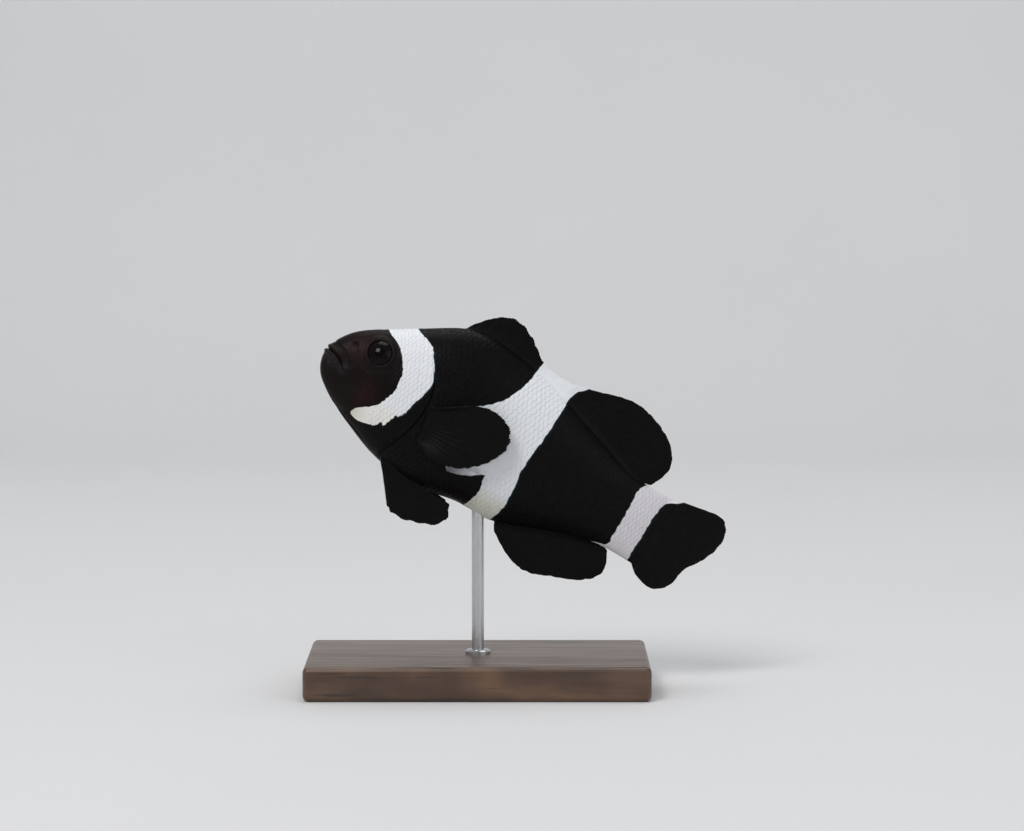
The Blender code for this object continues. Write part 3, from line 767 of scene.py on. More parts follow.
def add_bake_map(mesh, fish, part):
    """Lays each side of the body and of every fin out flat, in a cell of its own of the map."""
    corners = read_numbers(mesh.loops, "vertex_index")
    first = read_numbers(mesh.polygons, "loop_start")
    size = read_numbers(mesh.polygons, "loop_total")
    a, b, c = (fish[corners[first + step]] for step in range(3))
    turned_right = np.cross(b - a, c - a)[:, 1] > 0
    owner = np.minimum.reduceat(part[corners], first)
    middle = np.add.reduceat(fish[corners, 1], first) / size
    right = np.repeat(np.where(owner == 0, middle > 0, turned_right), size)
    owner = np.repeat(owner, size)
    places = np.zeros((len(corners), 2))
    cells = np.zeros((len(corners), 4))
    own = owner == 0
    places[own] = body_place(fish[corners[own]])
    cells[own] = [UV_MARGIN, UV_MARGIN, UV_BODY_WIDTH - 2 * UV_MARGIN, 0.5 - 2 * UV_MARGIN]
    cells[own & right, 1] += 0.5
    wide, high = (1 - UV_BODY_WIDTH) / 2, 1.0 / UV_FIN_ROWS
    for fin in range(1, part.max() + 1):
        own = owner == fin
        side_view = fish[corners[own]][:, [0, 2]]
        lowest = side_view.min(0)
        places[own] = (side_view - lowest) / (side_view.max(0) - lowest)
        cells[own] = [UV_BODY_WIDTH, (fin - 1) * high, wide - UV_MARGIN, high - UV_MARGIN]
        cells[own & right, 0] += wide
    lay_map(mesh, cells[:, :2] + places * cells[:, 2:])


def skin_mesh():
    meshes = [body_mesh()] + [fin_mesh(*fin) for fin in fin_table()]
    known = np.concatenate([read_points(mesh) for mesh in meshes])
    part = np.concatenate([np.full(len(mesh.vertices), number) for number, mesh in enumerate(meshes)])
    fields = {key: np.concatenate([read_vectors(mesh, key) for mesh in meshes]) for key in ("fish", "fin")}
    made = joined("fish_skin", meshes)
    tree = tree_of(known)
    found = [tree.find(point) for point in read_points(made)]
    nearest = np.array([hit[1] for hit in found])
    for key, values in fields.items():
        if key in made.attributes:
            made.attributes.remove(made.attributes[key])
        add_vectors(made, key, values[nearest])
    add_bake_map(made, fields["fish"][nearest], part[nearest])
    smooth_near(made, np.flatnonzero(np.array([hit[2] for hit in found]) > WELD_GAP))
    for mesh in meshes:
        bpy.data.meshes.remove(mesh)
    return made


# --- Scales ---

SCALE_ACROSS = 8
SCALE_ROWS = (0.0, 0.30, 0.58, 0.80, 0.94, 1.0)
SCALE_PIECES = 4
SCALE_OWN_COLOUR = 0.12  # how far a scale keeps to the colour of its own middle
RAGGED_OWN_COLOUR = 0.75  # and how much further it does so at the lower end of the head bar
# The gaps between columns and between rows of scales, at places along the fish.
GAP_PLACES = (8.0, 16.0, 26.0, 60.0, 78.0)
COLUMN_GAPS = (0.66, 0.80, 1.06, 0.98, 0.80)
ROW_GAPS = (0.84, 1.00, 1.34, 1.14, 0.92)


def column_gap(along):
    return np.interp(along, GAP_PLACES, COLUMN_GAPS)


def row_gap(along):
    return np.interp(along, GAP_PLACES, ROW_GAPS)


ARC_PLACES = np.linspace(6.0, BODY_END, 366)
ARC_REACH = 27.0
ARC_STEPS = 541
ARC_ANGLES = 361


def arc_tables():
    """Angle at each place along and distance round from the widest line, down being positive, and how
    far the skin reaches up and down from that line."""
    angles = np.linspace(0.0, math.pi, ARC_ANGLES)
    asked = np.linspace(-ARC_REACH, ARC_REACH, ARC_STEPS)
    rows, reach = [], []
    for place in ARC_PLACES:
        ring = shell(np.full(len(angles), math.sqrt(place)), angles)
        arc = np.concatenate([[0.0], np.cumsum(np.linalg.norm(np.diff(ring, axis=0), axis=1))])
        arc -= np.interp(math.pi / 2, angles, arc)
        rows.append(np.interp(asked, arc, angles))
        reach.append((arc[0], arc[-1]))
    return np.array(rows), np.array(reach)


def read_table(table, along, arc):
    """A bilinear reading of the table of angles."""
    x = np.clip((along - ARC_PLACES[0]) / (ARC_PLACES[1] - ARC_PLACES[0]), 0, len(ARC_PLACES) - 1.001)
    y = np.clip((arc + ARC_REACH) / (2 * ARC_REACH) * (ARC_STEPS - 1), 0, ARC_STEPS - 1.001)
    i, j = x.astype(int), y.astype(int)
    u, v = x - i, y - j
    return ((1 - u) * (1 - v) * table[i, j] + u * (1 - v) * table[i + 1, j]
            + (1 - u) * v * table[i, j + 1] + u * v * table[i + 1, j + 1])


LATERAL_LINE = ((22.0, 12.4), (30.0, 14.9), (38.0, 14.6), (46.0, 12.8), (54.0, 10.6), (62.0, 8.6))
lateral_line = natural_spline(*np.array(LATERAL_LINE).T)
HALF_ROWS = 40  # rows above and below the widest line, at most
ROW_MARGINS = (0.35, 0.3)  # kept free at the back and at the belly
ROOT_WANDER = 0.02  # of a row's height
SCALY_FROM = 0.6  # of scaly()
# Where no scales root: along the gill opening, on the throat and the jaw, and round the paired fins' roots.
GILL_BARE = (-1.1, 0.10)
GILL_BARE_HEIGHTS = (-12.6, 9.8)
THROAT_BARE_TO = 18.0
THROAT_BARE_RISE = 2.6
JAW_BARE_TO = 14.0
JAW_BARE_TOP = -4.6
JAW_BARE_SLOPE = 0.2
FIN_BARE = ((25.6, -1.8, 1.5, 4.3), (23.6, -13.0, 2.8, 1.6))  # an oval's centre and half axes
STALK_SPREAD = (0.8, 6.2)  # the height of the stalk's middle, and how far up and down the longer rows run
STALK_ENDS = (77.6, 75.6)


def scale_roots(table, reach):
    """Places of the scales of one side, as (along, arc), in staggered rows."""
    places = [GAP_PLACES[0]]
    while places[-1] < GAP_PLACES[-1]:
        places.append(places[-1] + 0.5 * column_gap(places[-1]))
    roots = []
    for column, place in enumerate(places):
        top = np.interp(place, ARC_PLACES, reach[:, 0]) + ROW_MARGINS[0]
        bottom = np.interp(place, ARC_PLACES, reach[:, 1]) - ROW_MARGINS[1]
        gap = float(row_gap(place))
        for row in range(-HALF_ROWS, HALF_ROWS + 1):
            if (row + column) % 2 == 0 and top < row * gap < bottom:
                roots.append((place, row * gap))
    roots = np.array(roots)
    roots += RANDOM.normal(0.0, ROOT_WANDER, roots.shape) * row_gap(roots[:, :1])
    point = shell(np.sqrt(roots[:, 0]), read_table(table, roots[:, 0], roots[:, 1]))
    along, up = point[:, 0], point[:, 2]
    gill = behind(gill_edge, along, up)
    by_gill = (gill > GILL_BARE[0]) & (gill < GILL_BARE[1])
    by_gill &= (up > GILL_BARE_HEIGHTS[0]) & (up < GILL_BARE_HEIGHTS[1])
    on_throat = (along < THROAT_BARE_TO) & (up < belly_at(along) + THROAT_BARE_RISE)
    on_jaw = (along < JAW_BARE_TO) & (up < JAW_BARE_TOP + JAW_BARE_SLOPE * (JAW_BARE_TO - along))
    keep = (scaly(along, up) > SCALY_FROM) & ~(by_gill | on_throat | on_jaw)
    for centre_along, centre_up, half_length, half_height in FIN_BARE:
        keep &= np.hypot((along - centre_along) / half_length, (up - centre_up) / half_height) > 1.0
    keep &= along < np.where(np.abs(up - STALK_SPREAD[0]) < STALK_SPREAD[1], *STALK_ENDS)
    return roots[keep]


SCALE_RISE = 0.074  # from a scale's root to its rear
SCALE_SINK = 0.022  # how far its root lies under the skin
SCALE_THIN_EDGE = 0.022
THIN_FROM = (0.93, 0.8)  # down and to the side, as shares of the scale
SCALE_HUB_SINK = 0.25  # its underside is drawn in to a hub this far under the skin
SCALE_LENGTH = 1.95  # in gaps between columns
SCALE_HALF_WIDTH = 0.80  # in gaps between rows
SCALE_REAR = (0.42, 0.58, 0.97)  # its sides' length, how much longer its middle is, and the rounding between
SIZE_VARIES = 0.05
TURN_VARIES = 0.05
LIFT_VARIES = 0.004
PORE_HEIGHT = 0.05
PORE_WIDTH = 0.2
PORE_ROWS = 0.34  # how near the lateral line a scale has to be to carry a pore
RAGGED = (14.0, 16.0, 22.0, 24.0)  # places between which the head bar's lower end is ragged
RAGGED_BELOW = (-2.0, 4.0)  # and how far below the middle line
PATCH = 0.0015  # half a scale's patch on the bake map
UNDERSIDE_PATCH = 0.004  # how far below it the underside's patch lies
MAP_MARGIN = 0.02


def scales(name, table, roots, way, material):
    """One piece of thin overlapping shields, rooted at the front and lifted a little at the rear."""
    count = len(roots)
    shape = (count, 1, 1)
    across_it = np.linspace(-1.0, 1.0, SCALE_ACROSS + 1)
    sides, middle, rounding = SCALE_REAR
    down = np.array(SCALE_ROWS)[:, None] * (sides + middle * np.sqrt(1 - (rounding * across_it) ** 2))
    side = across_it + 0 * down
    thin = ramp(np.array(SCALE_ROWS)[:, None] + 0 * down, THIN_FROM[0], 1.0)
    thin = np.maximum(thin, ramp(np.abs(side), THIN_FROM[1], 1.0))
    size = 1.0 + SIZE_VARIES * RANDOM.standard_normal(shape)
    turn = TURN_VARIES * RANDOM.standard_normal(shape)
    lift = LIFT_VARIES * RANDOM.standard_normal(shape)
    place, round_it = (roots[:, axis].reshape(shape) for axis in (0, 1))
    long = SCALE_LENGTH * column_gap(place) * size
    wide = SCALE_HALF_WIDTH * row_gap(place) * size
    root = np.sqrt(place + long * (down - 0.5) - wide * side * turn)
    angle = read_table(table, root * root, round_it + wide * side + long * (down - 0.5) * turn)
    plain = shell(root, angle)
    own_angle = read_table(table, place, round_it)
    own = shell(np.sqrt(place), own_angle)
    behind_gills = behind(gill_edge, own[..., 0], own[..., 2]) > 0
    pored = hump(own[..., 2] - lateral_line(place), PORE_ROWS)
    pored = pored * (place > LATERAL_LINE[0][0]) * (place < LATERAL_LINE[-1][0])
    rise = -COAT - SCALE_SINK + SCALE_RISE * down + lift - SCALE_THIN_EDGE * thin
    rise = rise + PORE_HEIGHT * pored * hump(side, PORE_WIDTH) * ramp(down, 0.3, 0.5)
    points = plain + shell_normal(root, angle) * (relief(plain, behind_gills) + rise)[..., None]
    sunk = relief(own, behind_gills) - COAT - SCALE_HUB_SINK
    hub = own + shell_normal(np.sqrt(place), own_angle) * sunk[..., None]
    rows, columns = down.shape
    each = rows * columns + 1
    first = np.arange(count)[:, None, None] * each
    top = (first + grid_faces(rows, columns)).reshape(-1, 4)
    rim = rim_of(np.arange(each - 1).reshape(rows, columns))
    under = (first + fan(each - 1, rim)[:, ::-1]).reshape(-1, 3)
    if way < 0:
        top, under = top[:, ::-1], under[:, ::-1]

    def heart(values):
        """What a scale has in its middle."""
        return values[:, 3:4, SCALE_ACROSS // 2 : SCALE_ACROSS // 2 + 1]

    def with_hubs(values, at_hub):
        """The values at each scale's vertices, with its hub's own after them."""
        values = np.broadcast_to(values, (count, rows, columns, values.shape[-1]))
        at_hub = np.broadcast_to(at_hub, (count, 1, 1, values.shape[-1]))
        pairs = (values.reshape(count, each - 1, -1), at_hub.reshape(count, 1, -1))
        return np.concatenate(pairs, axis=1).reshape(count * each, -1)

    def stacked(*values):
        return np.stack(np.broadcast_arrays(*values, place + side)[:-1], axis=-1)

    mirror = np.array([1.0, way, 1.0])
    mesh = mesh_of(name, to_world(with_hubs(points, hub) * mirror), top, under)
    ragged = ramp(-own[..., 2], *RAGGED_BELOW) * window(place, *RAGGED)
    share = (SCALE_OWN_COLOUR + RAGGED_OWN_COLOUR * ragged)[..., None]
    add_vectors(mesh, "fish", with_hubs(points + (heart(points) - points) * share, heart(points)) * mirror)
    fields = stacked(side, down, RANDOM.random(shape))
    add_vectors(mesh, "scale", with_hubs(fields, heart(fields)))
    forward = MAP_MARGIN + (1 - 2 * MAP_MARGIN) * place / BODY_END
    spot = np.stack([forward, 0.5 - (0.5 - MAP_MARGIN) * round_it / ARC_REACH], axis=-1)
    patch = with_hubs(spot + PATCH * stacked(2 * down - 1, -side), spot)
    flat = patch[np.concatenate([top.ravel(), under.ravel()])]
    flat[top.size :, 1] -= UNDERSIDE_PATCH
    lay_map(mesh, flat)
    return add_object(name, mesh, material)


# --- Materials ---


class Look:
    """A short way to write a material's nodes. A value may be a number, a colour or another node's output."""

    def __init__(self, name):
        self.material = bpy.data.materials.new(name)
        self.material.use_nodes = True
        self.tree = self.material.node_tree
        self.shader = self.tree.nodes["Principled BSDF"]

    def put(self, socket, value):
        if isinstance(value, bpy.types.NodeSocket):
            self.tree.links.new(value, socket)
        elif isinstance(value, tuple) and len(value) == 3 and socket.type == "RGBA":
            socket.default_value = (*value, 1.0)
        else:
            socket.default_value = value

    def node(self, kind, inputs=(), output=0, **settings):
        node = self.tree.nodes.new("ShaderNode" + kind)
        for key, value in settings.items():
            setattr(node, key, value)
        for key, value in dict(inputs).items():
            self.put(node.inputs[key], value)
        return node.outputs[output]

    def math(self, operation, first, *others):
        """One sum or product, or a chain of them."""
        for other in others:
            first = self.node("Math", {0: first, 1: other}, operation=operation)
        return first

    def times(self, *values):
        return self.math("MULTIPLY", *values)

    def most(self, *values):
        return self.math("MAXIMUM", *values)

    def less(self, first, other):
        return self.math("SUBTRACT", first, other)

    def vector_math(self, operation, *values, output=0):
        return self.node("VectorMath", dict(enumerate(values)), output, operation=operation)

    def attribute(self, name):
        return self.node("Attribute", output=1, attribute_name=name)

    def parts(self, vector):
        node = self.tree.nodes.new("ShaderNodeSeparateXYZ")
        self.put(node.inputs[0], vector)
        return node.outputs

    def noise(self, vector, scale, detail=2.0, roughness=0.5, stretch=None):
        if stretch:
            vector = self.vector_math("MULTIPLY", vector, stretch)
        inputs = {"Vector": vector, "Scale": scale, "Detail": detail, "Roughness": roughness}
        return self.node("TexNoise", inputs)

    def spread(self, value, low, high, to_low=0.0, to_high=1.0, kind="SMOOTHSTEP"):
        inputs = {0: value, 1: low, 2: high, 3: to_low, 4: to_high}
        return self.node("MapRange", inputs, interpolation_type=kind)

    def fall(self, value, low, high, full=1.0):
        return self.spread(value, low, high, full, 0.0)

    def linear(self, value, low, high, to_low=0.0, to_high=1.0):
        return self.spread(value, low, high, to_low, to_high, "LINEAR")

    def mix(self, share, first, second):
        node = self.tree.nodes.new("ShaderNodeMix")
        node.data_type = "RGBA"
        self.put(node.inputs[0], share)
        self.put(node.inputs[6], first)
        self.put(node.inputs[7], second)
        return node.outputs[2]

    def layers(self, colour, *over):
        """A colour with others mixed over it in turn, each given as a share and a colour."""
        for share, other in over:
            colour = self.mix(share, colour, other)
        return colour

    def curve(self, value, low, high, line, base, top):
        """A smooth curve through the points of a line, read at a value between low and high."""
        node = self.tree.nodes.new("ShaderNodeFloatCurve")
        points = node.mapping.curves[0].points
        scaled = [((x - low) / (high - low), (y - base) / (top - base)) for x, y in line]
        while len(points) < len(scaled):
            points.new(0.5, 0.5)
        for point, (x, y) in zip(points, scaled):
            point.location = (x, y)
        node.mapping.update()
        self.put(node.inputs["Value"], self.linear(value, low, high))
        return self.linear(node.outputs[0], 0.0, 1.0, base, top)

    def bump(self, height, strength, distance):
        return self.node("Bump", {"Height": height, "Strength": strength, "Distance": distance})

    def finish(self, **values):
        for key, value in values.items():
            self.put(self.shader.inputs[key.replace("_", " ")], value)
        return self.material


LOWEST, HIGHEST = -20.0, 30.0  # the heights that the bars' edges cover
LOBE_PLACES = (20.0, 50.0)  # the places that the middle bar's lobe covers
BAR_EDGE_SOFT = 0.07
BAR_EDGE_LINE = 0.22
BAR_EDGE_FADE = (0.1, 0.35)
BLUE_SHARE = 0.8

# Linear colours.
BLACK = (0.0028, 0.0023, 0.0024)
BLACK_WARM = (0.0085, 0.0052, 0.0048)
BLACK_WORN = (0.0060, 0.0054, 0.0058)
WHITE = (0.750, 0.765, 0.790)
WHITE_DEEP = (0.640, 0.665, 0.700)
# Cream: the head bar's lower tip, and the painted shade on the bars' lower ends towards the belly.
CREAM_AND_BELLY_SHADE = (0.560, 0.545, 0.430)
IVORY = (0.770, 0.745, 0.695)
PINKISH = (0.640, 0.605, 0.635)
# Painted shade: the grey of the white where it lies under the pectoral fin.
PECTORAL_SHADE_GREY = (0.085, 0.085, 0.095)
BLUE_EDGE = (0.0030, 0.0120, 0.0140)
# The lips' own paler tone, with a painted highlight on the lower lip.
LIP_PALE_AND_HIGHLIGHT = (0.042, 0.037, 0.040)
CHEEK_RED = (0.019, 0.0058, 0.0060)
SCALE_SHADE = (0.55, 0.56, 0.57)
# JAW_SPOTS: where the pale lips and their painted highlight lie.
JAW_SPOTS = ((1.6, 1.0, 3.4), (4.9, 0.9, 2.4))  # along, up and radius
RED_SPOTS = ((6.0, 6.0, 4.6), (11.8, -2.2, 4.6))
SKIN_SHINE = 0.075


def bars(look, fish):
    """How white the three bars make a place, from 0 to 1, and how near it is to their rear edges."""
    along, _, up = look.parts(fish)
    wander = look.linear(look.noise(fish, 0.55, 3.0), 0.3, 0.7, -0.12, 0.12)
    fine = look.linear(look.noise(fish, 3.2, 2.0), 0.3, 0.7, -0.04, 0.04)
    along = look.math("ADD", along, wander, fine)

    def place(line):
        return look.curve(up, LOWEST, HIGHEST, [(height, spot) for spot, height in line], 0.0, 100.0)

    def past(value, edge):
        return look.spread(look.less(value, edge), -BAR_EDGE_SOFT, BAR_EDGE_SOFT)

    lobe = look.curve(along, *LOBE_PLACES, MIDDLE_LOBE, LOWEST, HIGHEST)
    middle = look.times(past(along, place(MIDDLE_FRONT)), past(up, lobe))
    middle = look.most(middle, past(along, place(MIDDLE_LOWER_FRONT)))
    fronts = (past(along, place(HEAD_FRONT)), middle, past(along, place(STALK_FRONT)))
    white, line = 0.0, 0.0
    for front, rear_line in zip(fronts, (HEAD_REAR, MIDDLE_REAR, STALK_REAR)):
        rear = look.less(along, place(rear_line))
        off_line = look.node("Math", {0: look.less(rear, BAR_EDGE_LINE)}, operation="ABSOLUTE")
        white = look.most(white, look.times(front, look.fall(rear, -BAR_EDGE_SOFT, BAR_EDGE_SOFT)))
        line = look.most(line, look.times(front, look.fall(off_line, *BAR_EDGE_FADE)))
    return white, line


def spots(look, fish, places):
    """1 at each of some places of the side view, falling smoothly to 0 at its radius."""
    flat = look.vector_math("MULTIPLY", fish, (1.0, 0.0, 1.0))
    near = []
    for along, up, radius in places:
        off = look.vector_math("SUBTRACT", flat, (along, 0.0, up))
        near.append(look.fall(look.vector_math("LENGTH", off, output=1), 0.0, radius))
    return look.most(*near)


def fish_colours(look, fish, barred):
    """The colour of skin or scales, and how white it is."""
    along, _, up = look.parts(fish)

    def low_front(places, heights, full=1.0):
        """Full in front of two places and below two heights, and smooth to 0 between each two."""
        return look.times(look.fall(along, *places, full), look.fall(up, *heights))

    white, line = bars(look, fish)
    white = look.times(white, barred)
    mottle = look.noise(fish, 0.9, 4.0, 0.6)
    # Painted shade under the pectoral fin: a greyish stripe and streaks where the white lies in the fin's
    # shadow.
    streaks = look.spread(look.noise(fish, 1.0, 2.0, stretch=(0.5, 1.0, 4.5)), 0.4, 0.6, 0.0, 0.5)
    streaks = look.times(low_front((38.0, 43.0), (-5.0, -3.6)), streaks)
    pectoral_shade = look.most(low_front((33.5, 40.0), (-4.6, -3.8), 0.85), streaks)
    pale = look.layers(
        WHITE,
        # Painted shade: the bars turn darker and cream towards the belly.
        (look.fall(up, -11.0, -6.0, 0.75), CREAM_AND_BELLY_SHADE),
        (low_front((18.0, 22.0), (-4.0, -0.5), 0.8), IVORY),
        (low_front((10.0, 15.0), (-6.0, -3.5), 0.6), CREAM_AND_BELLY_SHADE),
        (look.spread(along, 60.0, 70.0, 0.0, 0.85), PINKISH),
        (look.spread(mottle, 0.35, 0.7, 0.0, 0.20), WHITE_DEEP),
        # The painted shade under the pectoral fin.
        (look.times(pectoral_shade, look.spread(along, 26.0, 28.0)), PECTORAL_SHADE_GREY),
    )
    # The blue line ends where the head bar's lower end is ragged.
    smooth_end = look.less(1.0, low_front((20.0, 24.0), (-4.0, 0.0)))
    # Pale lips and maxilla: partly their own tone, partly a painted highlight on the lower lip.
    lip_tone_and_highlight = look.spread(look.noise(fish, 0.7, 2.0), 0.25, 0.75, 0.0, 0.55)
    worn_cheek = look.spread(mottle, 0.3, 0.6, 0.35, 0.85)
    dark = look.layers(
        BLACK,
        (look.fall(along, 9.0, 19.0, 0.85), BLACK_WARM),
        (look.spread(mottle, 0.4, 0.75, 0.0, 0.5), BLACK_WORN),
        (look.times(line, BLUE_SHARE, barred, smooth_end), BLUE_EDGE),
        (look.times(spots(look, fish, JAW_SPOTS), lip_tone_and_highlight), LIP_PALE_AND_HIGHLIGHT),
        (look.times(spots(look, fish, RED_SPOTS), worn_cheek), CHEEK_RED),
    )
    return look.mix(white, dark, pale), white


def skin_material():
    look = Look("fish_skin")
    fish = look.attribute("fish")
    _, reach, barred = look.parts(look.attribute("fin"))
    along, _, up = look.parts(fish)
    # The bars cross the dorsal fins' front half and the tail fin's root.
    dorsal_rear = look.times(look.spread(along, 56.0, 60.0), look.spread(up, 8.85, 9.1))
    black_fin = look.most(dorsal_rear, look.spread(along, 79.5, 81.0))
    colour, _ = fish_colours(look, fish, look.times(barred, look.less(1.0, black_fin)))
    # Joints across the fin rays, and fine grain on the bare skin.
    joint = look.node("Math", {0: look.times(reach, 11.0)}, operation="SINE")
    joint = look.times(look.spread(joint, 0.2, 1.0), look.spread(reach, 0.5, 2.0), 0.25)
    height = look.math("ADD", look.times(look.noise(fish, 5.5, 3.0, 0.6), 0.6), joint)
    return look.finish(
        Base_Color=colour, Roughness=look.linear(look.noise(fish, 1.7, 3.0), 0.3, 0.7, 0.36, 0.50),
        Specular_IOR_Level=SKIN_SHINE, Normal=look.bump(height, 0.45, 0.00005),
    )


def scale_material():
    look = Look("fish_scales")
    fish = look.attribute("fish")
    side, _, own = look.parts(look.attribute("scale"))
    colour, white = fish_colours(look, fish, 1.0)
    colour = look.mix(look.times(look.linear(own, 0.0, 1.0, 0.0, 0.05), white), colour, SCALE_SHADE)
    streak = look.node("Math", {0: look.times(side, 17.0)}, operation="SINE")
    height = look.math("ADD", look.times(streak, 0.25), look.noise(fish, 6.0, 2.0))
    return look.finish(
        Base_Color=colour, Roughness=look.linear(own, 0.0, 1.0, 0.34, 0.44),
        Specular_IOR_Level=SKIN_SHINE, Normal=look.bump(height, 0.30, 0.00002),
    )


# The eye, from its middle out: each ring's colour, and the radii between which the next one takes over.
PUPIL = (0.0010, 0.0010, 0.0012)
IRIS = ((0.0022, 0.0014, 0.0013), (0.0052, 0.0030, 0.0023))  # between and in its streaks
IRIS_RING = (0.0085, 0.0052, 0.0036)
EYE_RIM_BLACK = (0.0030, 0.0025, 0.0030)
PUPIL_EDGE = (1.10, 1.17)
RING_START = (1.15, 1.21)
RING_END = (1.23, 1.37)
IRIS_EDGE = (1.75, 2.20)


def eye_material():
    look = Look("eye_gloss")
    spot = look.attribute("iris")
    radius = look.vector_math("LENGTH", spot, output=1)
    streaks = look.noise(look.vector_math("NORMALIZE", spot), 9.0, 4.0, 0.7)
    colour = look.layers(
        look.mix(look.spread(streaks, 0.3, 0.7), *IRIS),
        (look.spread(radius, *IRIS_EDGE), EYE_RIM_BLACK),
        (look.times(look.spread(radius, *RING_START), look.fall(radius, *RING_END), 0.6), IRIS_RING),
        (look.fall(radius, *PUPIL_EDGE), PUPIL),
    )
    return look.finish(
        Base_Color=colour, Roughness=0.35,
        Specular_IOR_Level=0.0, Coat_Weight=0.45, Coat_Roughness=0.06, Coat_IOR=1.30,
        Normal=look.bump(streaks, 0.12, 0.00003),
    )


WALNUT = ((0.060, 0.030, 0.016), (0.135, 0.070, 0.036))  # between and in its rings
WALNUT_GRAIN = (0.040, 0.020, 0.011)
WALNUT_PORES = (0.018, 0.010, 0.007)
STEEL = ((0.50, 0.50, 0.51), (0.60, 0.60, 0.61))
PLASTER = ((0.66, 0.66, 0.665), (0.69, 0.69, 0.69))


def walnut_material():
    look = Look("walnut")
    place = look.node("TexCoord", output=3)
    bend = look.times(look.noise(place, 22.0, 2.0, stretch=(1.0, 3.0, 3.0)), 0.012)
    grain = look.noise(place, 260.0, 5.0, 0.65, stretch=(0.10, 1.0, 1.0))
    pores = look.noise(place, 900.0, 2.0, stretch=(0.06, 1.0, 1.0))
    warp = look.vector_math("ADD", place, look.node("CombineXYZ", {1: bend}))
    rings = look.node(
        "TexWave", {"Vector": warp, "Scale": 95.0, "Distortion": 2.2, "Detail": 3.0, "Detail Scale": 1.4},
        output=1, bands_direction="Y",
    )
    colour = look.layers(
        look.mix(rings, *WALNUT),
        (look.spread(grain, 0.35, 0.7, 0.0, 0.55), WALNUT_GRAIN),
        (look.spread(pores, 0.62, 0.70, 0.0, 0.7), WALNUT_PORES),
    )
    height = look.less(look.times(grain, 0.5), look.spread(pores, 0.60, 0.70))
    return look.finish(
        Base_Color=colour, Roughness=look.linear(grain, 0.3, 0.7, 0.34, 0.50), Coat_Weight=0.25,
        Coat_Roughness=0.22, Normal=look.bump(height, 0.35, 0.00008),
    )


def steel_material():
    look = Look("brushed_steel")
    place = look.node("TexCoord", output=3)
    brushed = look.noise(place, 5200.0, 3.0, 0.6, stretch=(1.0, 1.0, 0.05))
    smudge = look.noise(place, 260.0, 2.0)
    rough = look.math("ADD", look.linear(brushed, 0.3, 0.7, 0.20, 0.34), look.times(smudge, 0.06))
    return look.finish(
        Base_Color=look.mix(smudge, *STEEL), Metallic=1.0, Roughness=rough,
        Normal=look.bump(brushed, 0.25, 0.00001),
    )


def plaster_material():
    look = Look("pale_floor")
    place = look.node("TexCoord", output=3)
    return look.finish(
        Base_Color=look.mix(look.noise(place, 9.0, 3.0), *PLASTER), Roughness=0.75,
        Specular_IOR_Level=0.2, Normal=look.bump(look.noise(place, 900.0, 2.0), 0.08, 0.00005),
    )


# --- The pieces ---


def build_fish():
    skin = add_object("fish_skin", skin_mesh(), skin_material())
    skin.data.set_sharp_from_angle(angle=math.radians(70))
    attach(skin, "root")
    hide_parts(*FLESH)
    table, reach = arc_tables()
    material = scale_material()
    for side, way in (("left", 1), ("right", -1)):
        roots = scale_roots(table, reach)
        order = np.argsort(roots[:, 0], kind="stable")
        for number, chosen in enumerate(np.array_split(order, SCALE_PIECES // 2)):
            piece = scales(f"scales_{side}_{number + 1}", table, roots[chosen], way, material)
            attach(piece, "root")


EYE_RINGS = 48
EYE_SPOKES = 72


def build_eye(side, way, material):
    """A flattened ball, glossy and square to the head's side, with the iris's place kept on it."""
    along, up = EYE_CENTRE

    def width(step_along=0.0, step_up=0.0):
        return float(half_width_at(np.float64(along + step_along), np.float64(up + step_up)))

    facing = unit(np.array([(width(-1) - width(1)) / 2, way, (width(0, -1) - width(0, 1)) / 2]))
    centre = np.array([along, way * width(), up]) + facing * (EYE_STANDS_OUT - EYE_HALF_DEPTH)
    across_it = unit(np.cross(facing, [0.0, 0.0, 1.0]))
    frame_of_it = np.array([across_it, np.cross(across_it, facing), facing])
    polar = np.linspace(0.0, math.pi, EYE_RINGS + 1)[1:-1][:, None]
    turn = np.linspace(0.0, math.tau, EYE_SPOKES, endpoint=False)[None, :]
    flat = np.stack([
        EYE_RADIUS * np.sin(polar) * np.cos(turn), EYE_RADIUS * np.sin(polar) * np.sin(turn),
        EYE_HALF_DEPTH * np.cos(polar) + 0 * turn,
    ], axis=-1).reshape(-1, 3)
    flat = np.concatenate([flat, [[0, 0, EYE_HALF_DEPTH], [0, 0, -EYE_HALF_DEPTH]]])
    spokes = np.arange(EYE_SPOKES)
    front = fan(len(flat) - 2, spokes)[:, ::-1]
    rear = fan(len(flat) - 1, (EYE_RINGS - 2) * EYE_SPOKES + spokes)
    ball = grid_faces(EYE_RINGS - 1, EYE_SPOKES, closed=True)
    mesh = mesh_of(f"eye_ball_{side}", to_world(centre + flat @ frame_of_it), ball, front, rear)
    add_vectors(mesh, "iris", flat * [1, 1, 0])
    piece = add_object(f"eye_ball_{side}", mesh, material)
    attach(piece, "root")
    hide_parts(f"eye_{side}")


BASE_ROUNDING = 0.0012
BASE_SHARP = math.radians(30)
TURNED_SPOKES = 64
TURNED_SHARP = math.radians(40)
# The collar's rings as (radius, height over the base), and how far its last one stands off the rod.
COLLAR = ((0.0026, -0.0004), (0.0026, 0.00054), (0.0023, 0.00081), (0.0020, 0.0009))
COLLAR_GAP = 0.0001


